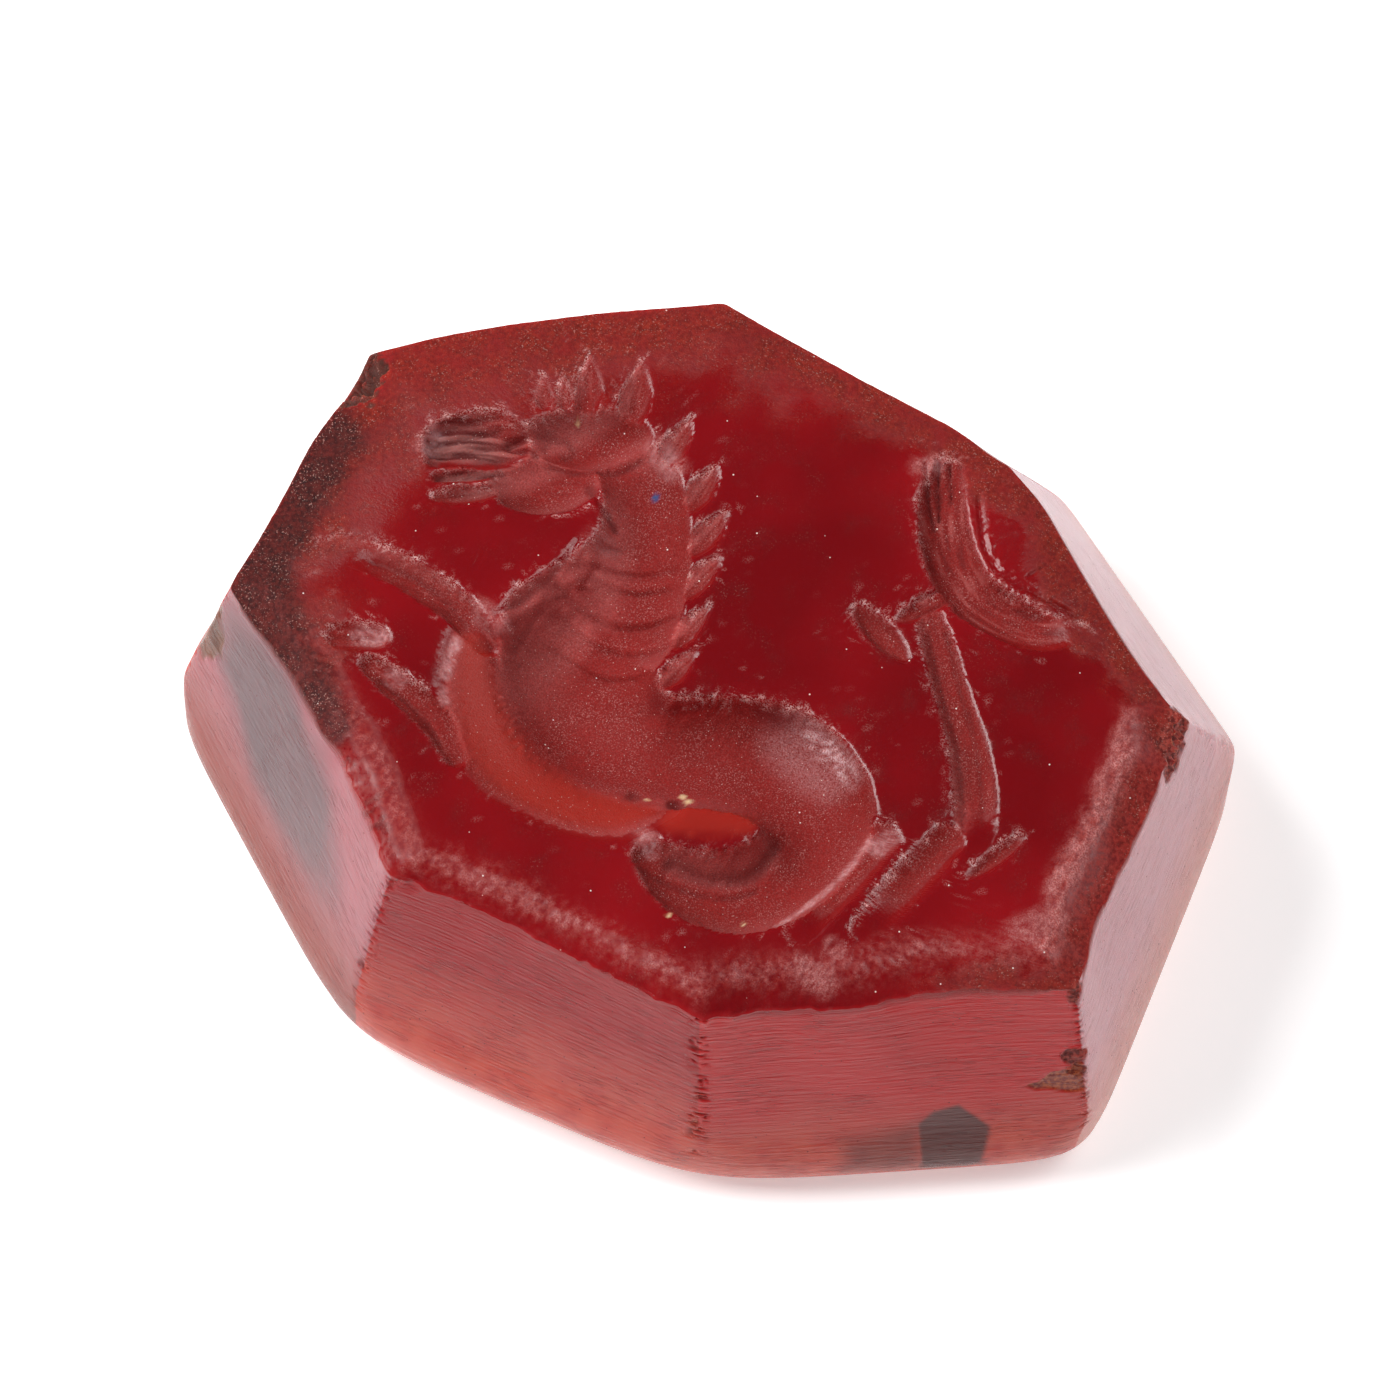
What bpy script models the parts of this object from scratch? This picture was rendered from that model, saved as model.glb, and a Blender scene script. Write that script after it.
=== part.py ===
# An engraved ring stone: a bevelled octagon of carnelian with a sea horse cut into its table
#
# The stone is one solid that lies on its flat underside. Its long axis is X and Z is up.
# Sizes are in millimetres and MM turns them into metres. The engraving is given in the
# figure's own frame, with the sea horse upright, and FIGURE_TURN lays it on the stone.

import bpy
import bmesh
from math import cos, pi, radians, sin, sqrt
from mathutils import Matrix, Vector

MM = 0.001

# The block of stone
TABLE_LENGTH = 11.58        # between the two short ends, where the bevels start
TABLE_WIDTH = 8.62          # between the two long sides, where the bevels start
CORNER_REACH = 4.74         # from the middle of the table to each corner cut
STONE_HEIGHT = 4.0          # from the underside to the table
SHOULDER_DROP = 0.24        # worn edge of the table: how far it falls
SHOULDER_WIDTH = 0.42       # and how far in it starts
BEVEL_FOOT_HEIGHT = 1.45    # where the ground bevels end
GIRDLE_HEIGHT = 0.70        # where the stone is widest
FOOT_INSET = 0.62           # how far the underside lies inside the widest outline
RIDGE_ROUND = 0.10          # radius of the ridges between bevels, at the table
BEVEL_FOOT_ROUND = 1.00     # and where the bevels end
GIRDLE_ROUND = 2.20         # radius of the corners at the widest outline
TURN_STEPS = 5              # flats along each rounded corner
SHOULDER_STEPS = 4          # rings along the worn shoulder
FOOT_STEPS = 3              # rings along the rounded foot
SHARP_ANGLE = 30            # degrees between faces that are shaded as a sharp edge

# Each bevel: the way it faces in degrees, the kind of side it is, how far the cutter ground it
# off the true line as a share of its reach, how far it runs out for each step down, and how far
# the girdle stands out below it for each step down to the girdle
BEVELS = (
    (5.2, "end", 0.012, 0.172, 0.12),
    (58.6, "corner", -0.017, 0.350, 0.12),
    (85.3, "side", -0.009, 0.330, 0.24),
    (124.1, "corner", 0.012, 0.350, 0.45),
    (175.8, "end", 0.010, 0.149, 0.11),
    (233.0, "corner", 0.048, 0.252, 0.30),
    (271.1, "side", 0.009, 0.286, 0.37),
    (299.9, "corner", -0.008, 0.313, 0.38),
)

# The sea horse, in its own frame: x runs to the right and y up from the middle of the table
FIGURE_UNIT = 1.0           # one unit of the tables of strokes, spindles, bowls and mane
FIGURE_TURN = 25.9          # degrees from the stone's long axis back to the figure's x axis
STATIONS_PER_UNIT = 5       # rings along one unit of a stroke
END_STEPS = 3               # rings that round each end of a stroke
END_LENGTH = 0.8            # length of a rounded end, as a share of the half width there
BODY_SIDES = 32             # sides of the neck and the body
STROKE_SIDES = 16
SPINDLE_SIDES = 10
SPINDLE_STEPS = 6
SPINDLE_TIP = 0.15          # width of a tapered stroke's tips, as a share of its middle
BOWL_SIDES = 24
BOWL_LIFT = 0.35            # middle of a ball cutter over the table, as a share of its depth
MANE_STEEPNESS = 1.0        # depth of a tuft of mane, as a share of its half width

# Strokes that a round wheel cut along a path. Each has a depth, its number of sides and its
# points as x, y and half width. The widest point is cut to the depth, and the others less
# deep as they are narrower.
STROKES = {
    "neck": (
        0.52, BODY_SIDES,
        ((-1.20, 2.75, 0.36), (-0.88, 2.30, 0.52), (-0.80, 1.75, 0.58), (-0.88, 1.10, 0.68),
         (-1.20, 0.45, 0.80))),
    "body": (
        0.80, BODY_SIDES,
        ((-1.40, 0.62, 0.66), (-1.80, -0.02, 1.02), (-1.50, -0.78, 0.96), (-0.80, -1.16, 0.76),
         (0.10, -1.20, 0.77), (0.86, -1.38, 0.80), (1.36, -1.95, 0.73), (1.12, -2.66, 0.62),
         (0.40, -3.04, 0.58), (-0.30, -2.92, 0.44), (-0.72, -2.60, 0.26))),
    "upper_foreleg": (
        0.28, STROKE_SIDES,
        ((-2.70, 0.24, 0.24), (-2.90, 0.46, 0.28), (-3.28, 0.90, 0.29), (-3.90, 1.28, 0.27),
         (-4.46, 1.48, 0.17))),
    "lower_foreleg": (
        0.26, STROKE_SIDES,
        ((-3.00, -1.26, 0.20), (-3.22, -0.98, 0.27), (-3.70, -0.42, 0.25), (-4.04, -0.04, 0.18))),
    "tail_stem": (
        0.24, STROKE_SIDES,
        ((3.44, -2.50, 0.14), (3.40, -1.95, 0.22), (3.20, -1.05, 0.21), (2.99, -0.34, 0.20),
         (2.80, 0.34, 0.20), (2.68, 0.78, 0.14))),
    "tail_fin": (
        0.36, STROKE_SIDES,
        ((2.84, 2.50, 0.27), (2.84, 1.90, 0.31), (2.98, 1.18, 0.33), (3.42, 0.65, 0.33),
         (4.10, 0.37, 0.27), (4.72, 0.40, 0.13))),
    "muzzle": (
        0.34, STROKE_SIDES,
        ((-3.36, 2.98, 0.36), (-3.05, 2.98, 0.42), (-2.64, 2.90, 0.38))),
}

# Short strokes that taper to both ends: start, end, half width and depth
SPINDLES = {
    "lower_lip": ((-3.48, 2.20), (-2.60, 2.24), 0.14, 0.16),
    "tail_cross": ((2.30, 0.46), (3.14, 0.94), 0.14, 0.14),
    "tail_leaf": ((1.74, 0.72), (2.50, -0.08), 0.19, 0.20),
    "fin_left": ((2.42, -2.22), (0.74, -3.66), 0.21, 0.22),
    "fin_middle": ((3.16, -2.30), (1.80, -3.74), 0.23, 0.22),
    "fin_right": ((3.88, -2.40), (3.10, -3.10), 0.17, 0.16),
    "hoof": ((-4.46, 0.46), (-4.00, 0.10), 0.17, 0.16),
}

# Round bowls: middle, half length, half width and depth
BOWLS = {
    "brow": ((-1.56, 3.00), 0.82, 0.42, 0.46),
    "jaw": ((-2.10, 2.42), 0.72, 0.48, 0.42),
}

# Chips knocked off the worn edge of the table: middle, half width and drop below the table
CHIPS = {
    "notch": ((-4.52, 3.92), 0.36, 0.40),
    "end_chip": ((5.98, -1.02), 0.20, 0.42),
}

# Tufts of the mane, from the forehead down the back of the neck: root, length, lean in degrees
# from upright and half width
MANE = (
    ((-2.11, 3.38), 0.50, 0.0, 0.10),
    ((-1.84, 3.36), 0.48, 2.0, 0.10),
    ((-1.56, 3.30), 0.88, -2.0, 0.16),
    ((-1.02, 3.16), 0.92, -10.0, 0.19),
    ((-0.60, 2.62), 0.72, -30.0, 0.15),
    ((-0.28, 2.02), 0.70, -32.0, 0.16),
    ((-0.26, 1.42), 0.74, -40.0, 0.16),
    ((-0.36, 0.84), 0.74, -42.0, 0.16),
    ((-0.50, 0.16), 0.72, -42.0, 0.15),
    ((-0.62, -0.38), 0.66, -42.0, 0.14),
)


def clear_scene():
    """Leave an empty scene, whatever was open."""
    for thing in list(bpy.data.objects):
        bpy.data.objects.remove(thing, do_unlink=True)


def new_collection(name):
    """A collection of the scene's own."""
    made = bpy.data.collections.new(name)
    bpy.context.scene.collection.children.link(made)
    return made


def new_object(name, mesh, collection):
    """An object for a mesh, in its collection, shaded smooth between its sharp edges."""
    mesh.shade_smooth()
    mesh.set_sharp_from_angle(angle=radians(SHARP_ANGLE))
    made = bpy.data.objects.new(name, mesh)
    collection.objects.link(made)
    return made


def carnelian():
    """Deep red carnelian with a dull polish."""
    stone = bpy.data.materials.new("carnelian")
    stone.use_nodes = True
    shader = stone.node_tree.nodes["Principled BSDF"]
    shader.inputs["Base Color"].default_value = (0.23, 0.018, 0.018, 1.0)
    shader.inputs["Roughness"].default_value = 0.25
    shader.inputs["Metallic"].default_value = 0.0
    return stone


def true_reach(kind):
    """How far a side of this kind lies from the middle before the cutter's error."""
    return {"end": TABLE_LENGTH / 2, "side": TABLE_WIDTH / 2, "corner": CORNER_REACH}[kind]


def bevel_reach(bevel, height):
    """How far a bevel lies from the stone's axis at a height between the foot and the shoulder."""
    facing, kind, error, run_out, girdle_out = bevel
    shoulder = STONE_HEIGHT - SHOULDER_DROP
    top = true_reach(kind) * (1 + error)
    if height >= BEVEL_FOOT_HEIGHT:
        return top + run_out * (shoulder - height)
    foot = top + run_out * (shoulder - BEVEL_FOOT_HEIGHT)
    girdle_drop = BEVEL_FOOT_HEIGHT - GIRDLE_HEIGHT
    fall = (BEVEL_FOOT_HEIGHT - height) / girdle_drop
    return foot + girdle_out * girdle_drop * sqrt(max(0.0, 1 - (1 - fall) ** 2))


def meeting_point(first, second, reach_first, reach_second):
    """Where the lines of two neighbouring sides meet."""
    a, b = radians(first[0]), radians(second[0])
    turn = sin(b - a)
    x = (reach_first * sin(b) - reach_second * sin(a)) / turn
    y = (reach_second * cos(a) - reach_first * cos(b)) / turn
    return Vector((x, y))


def section(height, inset, round_radius):
    """The stone's outline at a height: its eight sides with each corner turned in an arc."""
    points = []
    count = len(BEVELS)
    for k in range(count):
        here, following = BEVELS[k], BEVELS[(k + 1) % count]
        reach_here = bevel_reach(here, height) - inset
        reach_following = bevel_reach(following, height) - inset
        corner = meeting_point(here, following, reach_here, reach_following)
        start = radians(here[0])
        sweep = (radians(following[0]) - start) % (2 * pi)
        towards = Vector((cos(start + sweep / 2), sin(start + sweep / 2)))
        middle = corner - towards * (round_radius / cos(sweep / 2))
        for step in range(TURN_STEPS + 1):
            angle = start + sweep * step / TURN_STEPS
            points.append(middle + round_radius * Vector((cos(angle), sin(angle))))
    return points


def stone_rings():
    """Every outline of the stone from the underside to the table, as heights and points."""
    rings = []
    for step in range(FOOT_STEPS + 1):
        turn = pi / 2 * step / FOOT_STEPS
        height = GIRDLE_HEIGHT * (1 - cos(turn))
        inset = FOOT_INSET * (1 - sin(turn))
        rings.append((height, section(GIRDLE_HEIGHT, inset, GIRDLE_ROUND)))
    between = (BEVEL_FOOT_HEIGHT + GIRDLE_HEIGHT) / 2
    halfway_round = (BEVEL_FOOT_ROUND + GIRDLE_ROUND) / 2
    rings.append((between, section(between, 0.0, halfway_round)))
    rings.append((BEVEL_FOOT_HEIGHT, section(BEVEL_FOOT_HEIGHT, 0.0, BEVEL_FOOT_ROUND)))
    shoulder = STONE_HEIGHT - SHOULDER_DROP
    for step in range(SHOULDER_STEPS + 1):
        turn = pi / 2 * step / SHOULDER_STEPS
        height = shoulder + SHOULDER_DROP * sin(turn)
        inset = SHOULDER_WIDTH * (1 - cos(turn))
        rings.append((height, section(shoulder, inset, RIDGE_ROUND)))
    return rings


def box_middle():
    """The middle of the stone's widest outline, seen from the middle of the table."""
    widest = section(GIRDLE_HEIGHT, 0.0, GIRDLE_ROUND)
    reach_x = [point.x for point in widest]
    reach_y = [point.y for point in widest]
    return Vector((max(reach_x) + min(reach_x), max(reach_y) + min(reach_y))) / 2


def placed(point, height):
    """A point measured from the middle of the table, in metres from the middle of the box."""
    beside = point - box_middle()
    return Vector((beside.x, beside.y, height)) * MM


def loft(rings):
    """A closed mesh through outlines with the same number of points, flat at both ends."""
    mesh = bmesh.new()
    lower = None
    for height, outline in rings:
        upper = [mesh.verts.new(placed(point, height)) for point in outline]
        if lower is None:
            mesh.faces.new(reversed(upper))
        else:
            for k in range(len(upper)):
                mesh.faces.new((lower[k - 1], lower[k], upper[k], upper[k - 1]))
        lower = upper
    mesh.faces.new(lower)
    return mesh


def build_stone(collection, engraving):
    """The block of stone, from its underside up to the table, with the engraving cut into it."""
    mesh = loft(stone_rings())
    data = bpy.data.meshes.new("intaglio_stone")
    mesh.to_mesh(data)
    mesh.free()
    data.materials.append(carnelian())
    stone = new_object("intaglio_stone", data, collection)
    cut = stone.modifiers.new("engraving", "BOOLEAN")
    cut.operation = "DIFFERENCE"
    cut.solver = "EXACT"
    cut.operand_type = "COLLECTION"
    cut.collection = engraving
    return stone


def on_stone(x, y, rise):
    """A point of the figure, laid on the stone at a rise over the table, in metres."""
    flat = Matrix.Rotation(radians(FIGURE_TURN), 2) @ Vector((x, y))
    return placed(flat * FIGURE_UNIT, STONE_HEIGHT + rise * FIGURE_UNIT)


def hide_cutter(cutter):
    """Mark an object as a cutter, which only shows as wires."""
    cutter.hide_render = True
    cutter.display_type = "WIRE"


def smooth_path(points):
    """Stations along a smooth line through the points."""
    ends = [points[0]] + list(points) + [points[-1]]
    stations = []
    for before, start, end, after in zip(ends, ends[1:], ends[2:], ends[3:]):
        length = sqrt((end[0] - start[0]) ** 2 + (end[1] - start[1]) ** 2)
        count = max(1, round(length * STATIONS_PER_UNIT))
        for step in range(count):
            t = step / count
            stations.append(tuple(
                0.5 * (2 * b + (c - a) * t + (2 * a - 5 * b + 4 * c - d) * t ** 2
                       + (3 * b - a - 3 * c + d) * t ** 3)
                for a, b, c, d in zip(before, start, end, after)))
    stations.append(points[-1])
    return stations


def rounded_ends(stations):
    """The same stations with both ends drawn in to a round tip."""
    tips = []
    for end, inner in ((stations[0], stations[1]), (stations[-1], stations[-2])):
        outward = Vector((end[0] - inner[0], end[1] - inner[1])).normalized()
        tip = []
        for step in range(1, END_STEPS + 1):
            turn = pi / 2 * step / (END_STEPS + 0.5)
            place = Vector(end[:2]) + outward * end[2] * END_LENGTH * sin(turn)
            tip.append((place.x, place.y, end[2] * cos(turn)))
        tips.append(tip)
    return tips[0][::-1] + stations + tips[1]


def stroke_cutter(name, depth, stations, sides, collection):
    """A round tube whose cut in the table is as wide and as deep as each station asks."""
    widest = max(width for x, y, width in stations)
    steepness = depth / widest
    curve = bpy.data.curves.new(name, "CURVE")
    curve.dimensions = "3D"
    curve.bevel_depth = MM
    curve.bevel_resolution = (sides - 4) // 2
    curve.use_fill_caps = True
    spline = curve.splines.new("POLY")
    spline.points.add(len(stations) - 1)
    for point, (x, y, width) in zip(spline.points, stations):
        reach = width * (1 + steepness ** 2) / (2 * steepness)
        point.co = (*on_stone(x, y, reach - width * steepness), 1.0)
        point.radius = reach * FIGURE_UNIT
    swept = bpy.data.objects.new(name + "_path", curve)
    collection.objects.link(swept)
    bpy.context.view_layer.update()
    data = bpy.data.meshes.new_from_object(swept.evaluated_get(bpy.context.evaluated_depsgraph_get()))
    data.name = name
    mesh = bmesh.new()
    mesh.from_mesh(data)
    bmesh.ops.remove_doubles(mesh, verts=mesh.verts, dist=0.001 * MM)
    bmesh.ops.recalc_face_normals(mesh, faces=mesh.faces)
    mesh.to_mesh(data)
    mesh.free()
    cutter = new_object(name, data, collection)
    cutter.matrix_world = swept.matrix_world
    bpy.data.objects.remove(swept, do_unlink=True)
    hide_cutter(cutter)


def spindle_cutter(name, start, end, width, depth, collection):
    """A short stroke that tapers to both ends, as a thin wheel leaves it."""
    stations = []
    for step in range(SPINDLE_STEPS + 1):
        t = step / SPINDLE_STEPS
        swell = SPINDLE_TIP + (1 - SPINDLE_TIP) * sin(pi * t) ** 0.7 if 0 < t < 1 else SPINDLE_TIP
        x = start[0] + (end[0] - start[0]) * t
        y = start[1] + (end[1] - start[1]) * t
        stations.append((x, y, width * swell))
    stroke_cutter(name, depth, stations, SPINDLE_SIDES, collection)


def ball_cutter(name, place, rise, half_sizes, collection):
    """A ball stretched to these half sizes, its middle at a rise over the table."""
    mesh = bmesh.new()
    bmesh.ops.create_uvsphere(mesh, u_segments=BOWL_SIDES, v_segments=BOWL_SIDES // 2, radius=MM)
    bmesh.ops.scale(mesh, verts=mesh.verts, vec=Vector(half_sizes) * FIGURE_UNIT)
    data = bpy.data.meshes.new(name)
    mesh.to_mesh(data)
    mesh.free()
    cutter = new_object(name, data, collection)
    cutter.location = on_stone(*place, rise)
    cutter.rotation_euler.z = radians(FIGURE_TURN)
    hide_cutter(cutter)


def bowl_cutter(name, place, half_length, half_width, depth, collection):
    """A ball whose cut in the table is an oval of this size and depth."""
    upright = depth * (1 + BOWL_LIFT)
    spread = 1 / sqrt(1 - (BOWL_LIFT / (1 + BOWL_LIFT)) ** 2)
    half_sizes = (half_length * spread, half_width * spread, upright)
    ball_cutter(name, place, depth * BOWL_LIFT, half_sizes, collection)


def engrave(collection):
    """Every cutter of the sea horse, from round strokes to the mane, and the chips."""
    for name, (depth, sides, points) in STROKES.items():
        stroke_cutter(name, depth, rounded_ends(smooth_path(points)), sides, collection)
    for name, (start, end, width, depth) in SPINDLES.items():
        spindle_cutter(name, start, end, width, depth, collection)
    for name, (place, half_length, half_width, depth) in BOWLS.items():
        bowl_cutter(name, place, half_length, half_width, depth, collection)
    for number, (root, length, lean, width) in enumerate(MANE, start=1):
        tip = (root[0] - length * sin(radians(lean)), root[1] + length * cos(radians(lean)))
        spindle_cutter(f"mane_{number}", root, tip, width, width * MANE_STEEPNESS, collection)
    for name, (place, half_width, drop) in CHIPS.items():
        ball_cutter(name, place, 0.0, (half_width, half_width, drop), collection)


def main():
    clear_scene()
    parts = new_collection("intaglio_gem")
    cutters = new_collection("engraving_cutters")
    engrave(cutters)
    build_stone(parts, cutters)


main()
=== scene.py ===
# %% [markdown]
# # An engraved carnelian, seen close up
# This is a ring stone of about thirteen millimetres: a bevelled octagon of red carnelian with a
# sea horse cut into its flat top, which gem cutters call the table. The part itself is already
# made as a solid. This lesson loads that solid as a fixed frame and dresses it in one finely
# modelled mesh, with the wheel cuts, the worn edges and the chips of the real stone.

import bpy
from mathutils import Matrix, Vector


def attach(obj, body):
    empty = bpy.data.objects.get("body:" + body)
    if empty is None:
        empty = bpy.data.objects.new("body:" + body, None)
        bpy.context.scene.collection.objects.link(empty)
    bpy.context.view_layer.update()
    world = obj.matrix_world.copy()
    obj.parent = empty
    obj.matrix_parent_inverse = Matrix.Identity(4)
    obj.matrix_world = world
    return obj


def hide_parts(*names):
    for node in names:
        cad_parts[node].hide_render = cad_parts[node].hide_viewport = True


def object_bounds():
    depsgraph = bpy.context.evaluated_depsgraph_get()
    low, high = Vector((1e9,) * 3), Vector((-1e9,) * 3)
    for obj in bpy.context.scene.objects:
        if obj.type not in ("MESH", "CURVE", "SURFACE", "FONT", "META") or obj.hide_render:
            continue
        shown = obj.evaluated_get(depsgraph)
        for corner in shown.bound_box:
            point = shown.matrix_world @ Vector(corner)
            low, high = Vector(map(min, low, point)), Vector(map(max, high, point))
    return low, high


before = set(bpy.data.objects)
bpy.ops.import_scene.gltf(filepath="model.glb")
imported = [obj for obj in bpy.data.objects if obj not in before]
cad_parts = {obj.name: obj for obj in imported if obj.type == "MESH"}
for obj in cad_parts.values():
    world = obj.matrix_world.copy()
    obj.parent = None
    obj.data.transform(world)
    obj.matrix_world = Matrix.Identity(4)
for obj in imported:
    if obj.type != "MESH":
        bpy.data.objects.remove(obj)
cad_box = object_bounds()
print("solid's box, metres:", [list(corner) for corner in cad_box])

# %% Tools and the unit
import math

import bmesh
import bpy
import numpy as np
from mathutils import Vector, noise

MM = 0.001
LOW = np.array(cad_box[0]) / MM
HIGH = np.array(cad_box[1]) / MM
HEIGHT = HIGH[2] - LOW[2]
print(f"the stone is {HIGH[0] - LOW[0]:.2f} by {HIGH[1] - LOW[1]:.2f} by {HEIGHT:.2f} mm")

# %% [markdown]
# ## The ground block
# The real stone was ground on a flat lap: eight bevels around the table, each at its own slope,
# then a rounded girdle and a flat underside. Eight planes cut out of a block would give it too,
# but a mesh of large flat faces has no points to carry wear. So a cube is cut into a fine grid
# and its points are laid on the stone: the top becomes the table, the sides the bevels.

# %% The bevels, as they were ground
# In millimetres: the worn drop at the table's edge, then heights and reaches
SHOULDER_DROP = 0.24
BEVEL_FOOT = 1.45
GIRDLE = 0.70
FOOT_INSET = 0.62
SHOULDER = HEIGHT - SHOULDER_DROP
TABLE_LENGTH = 11.58
TABLE_WIDTH = 8.62
CORNER_REACH = 4.74

# Facing in degrees, reach at the shoulder, run out for each step down, then below the foot
BEVELS = np.array([
    (5.2, TABLE_LENGTH / 2 * 1.012, 0.172, 0.12),
    (58.6, CORNER_REACH * 0.983, 0.350, 0.12),
    (85.3, TABLE_WIDTH / 2 * 0.991, 0.330, 0.24),
    (124.1, CORNER_REACH * 1.012, 0.350, 0.45),
    (175.8, TABLE_LENGTH / 2 * 1.010, 0.149, 0.11),
    (233.0, CORNER_REACH * 1.048, 0.252, 0.30),
    (271.1, TABLE_WIDTH / 2 * 1.009, 0.286, 0.37),
    (299.9, CORNER_REACH * 0.992, 0.313, 0.38),
])
FACING = np.radians(BEVELS[:, 0])
NORMALS = np.stack([np.cos(FACING), np.sin(FACING)], axis=1)
print("bevels face, degrees:", BEVELS[:, 0].tolist())

# %% The worn edge of the table
# Way from the middle in degrees, and how far the worn edge of the table stands out there
EDGE = np.array([
    (0.6, -.08), (12, -.03), (16, -.10), (24, -.20), (31, -.17), (42, -.08), (54, .01), (63, -.08),
    (71, .04), (90, .01), (108, .02), (119, .06), (132, .13), (146, .15), (154, .12), (160, .02),
    (165, -.07), (170, -.02), (175, .02), (182, -.05), (190, -.09), (195, -.08), (200, -.16),
    (204, -.26), (215, -.26), (221, -.32), (228, -.24), (236, -.16), (240, -.08), (247, -.15),
    (254, -.16), (263, -.12), (272, -.08), (281, -.03), (290, 0), (297, .05), (304, -.04), (315, .05),
    (322, -.02), (327, -.14), (337, -.14), (342, 0), (346, -.08), (351, -.18), (356, -.11),
])

EDGE_STEPS = np.interp(np.arange(360), EDGE[:, 0], EDGE[:, 1], period=360)
EDGE_STEPS = sum(np.roll(EDGE_STEPS, step) for step in range(-3, 4)) / 7
print(f"the edge wanders from {EDGE_STEPS.min():.2f} to {EDGE_STEPS.max():.2f} mm")


# %% How far the stone reaches
# Radius of the ridges between bevels at the table, at the foot of the bevels and at the girdle
ROUND_AT_TABLE = 0.12
ROUND_AT_FOOT = 0.37
ROUND_AT_GIRDLE = 2.17
# The power that rounds a ridge to a radius of one millimetre on a stone of this size
SHARPNESS = 50.9


def smooth(low, high, value):
    """Nought below low, one above high, and an easy curve between."""
    part = np.clip((value - low) / (high - low), 0.0, 1.0)
    return part * part * (3 - 2 * part)


def rough(points, size, seed):
    """Smooth noise between about minus one and one, with features of this size in millimetres."""
    return np.array([noise.noise(Vector((x / size, y / size, seed))) for x, y in points[:, :2]])


def reaches(height):
    """How far each of the eight bevels lies from the axis at each height."""
    height = np.asarray(height)[:, None]
    upper = BEVELS[:, 1] + BEVELS[:, 2] * np.minimum(SHOULDER - height, SHOULDER - BEVEL_FOOT)
    fall = np.clip((BEVEL_FOOT - height) / (BEVEL_FOOT - GIRDLE), 0.0, 1.0)
    lean = BEVELS[:, 2] / BEVELS[:, 3]
    swell = lean * fall * (1 - fall) ** 2 + fall ** 2 * (3 - 2 * fall)
    foot = np.clip(height / GIRDLE, 0.0, 1.0)
    inset = FOOT_INSET * (1 - np.sqrt(np.maximum(0.0, 1 - (1 - foot) ** 2)))
    return upper + BEVELS[:, 3] * (BEVEL_FOOT - GIRDLE) * swell - inset


def corner_round(height):
    """The radius that wear has given the corners: small at the table, large at the girdle."""
    lower = (ROUND_AT_FOOT - ROUND_AT_TABLE) * smooth(SHOULDER, BEVEL_FOOT, height)
    lowest = (ROUND_AT_GIRDLE - ROUND_AT_FOOT) * smooth(BEVEL_FOOT, GIRDLE, height)
    return ROUND_AT_TABLE + lower + lowest


def outline(direction, height):
    """How far the stone reaches in each direction at each height."""
    facing = np.maximum(direction @ NORMALS.T, 1e-6) / reaches(height)
    sharpness = (SHARPNESS / corner_round(height))[:, None]
    largest = facing.max(axis=1, keepdims=True)
    total = ((facing / largest) ** sharpness).sum(axis=1, keepdims=True) ** (1 / sharpness)
    way = np.degrees(np.arctan2(direction[:, 1], direction[:, 0]))
    worn = np.interp(way, np.arange(360), EDGE_STEPS, period=360)
    upper = np.clip((height - BEVEL_FOOT) / (SHOULDER - BEVEL_FOOT), 0.0, 1.0) ** 1.5
    return 1 / (largest * total)[:, 0] + worn * upper


angles = np.radians(np.arange(0, 360, 1.0))
around = np.stack([np.cos(angles), np.sin(angles)], axis=1)
widest = around * outline(around, np.full(360, GIRDLE))[:, None]
MIDDLE = (widest.max(axis=0) + widest.min(axis=0)) / 2
print("table's middle from the box's middle, mm:", np.round(-MIDDLE, 3))

# %% A cube cut into a grid
# Squares along the stone, across it and up its side
CUTS = (72, 56, 26)


def cut_cube():
    """A cube of side two, cut by planes into a fine grid."""
    mesh = bmesh.new()
    bmesh.ops.create_cube(mesh, size=2.0)
    for axis, count in enumerate(CUTS):
        normal = Vector([float(axis == other) for other in range(3)])
        for step in range(1, count):
            place = normal * (2 * step / count - 1)
            everything = mesh.verts[:] + mesh.edges[:] + mesh.faces[:]
            bmesh.ops.bisect_plane(mesh, geom=everything, dist=1e-6, plane_co=place, plane_no=normal)
    return mesh


def points_of(mesh):
    """Every point of a mesh as one array."""
    return np.array([tuple(vertex.co) for vertex in mesh.verts])


stone_mesh = cut_cube()
print("grid:", len(stone_mesh.verts), "points,", len(stone_mesh.faces), "faces")


def unit(rows):
    """Rows scaled to length one; a row of nothing is left pointing along X."""
    length = np.linalg.norm(rows, axis=1, keepdims=True)
    safe = np.where(length > 1e-9, rows, (1.0, 0.0))
    return safe / np.maximum(np.linalg.norm(safe, axis=1, keepdims=True), 1e-9)


# %% Lay the cube on the stone
# Share of the cube's height that becomes the rounded foot
ROUND_SHARE = 0.16
# How deep tiny flakes bite into the near edges of the table, large ones and small ones
BITES = (0.05, 0.045)
NEAR_SIDES = (0, 5, 6, 7)
# Worn shoulder at each side of the table: where its slope starts to ease, and where it ends, in
# millimetres from the edge, then how far the table sinks inside it and how far that reaches
SHOULDERS = np.array([
    (0.32, 0.66, 0.02, 1.1), (0.10, 0.80, 0.05, 1.2), (0.08, 0.80, 0.06, 1.2), (0.06, 0.90, 0.10, 1.6),
    (0.10, 0.95, 0.14, 1.8), (0.12, 0.42, 0.03, 0.8), (0.14, 0.46, 0.03, 0.8), (0.28, 0.60, 0.04, 0.9),
])


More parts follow.
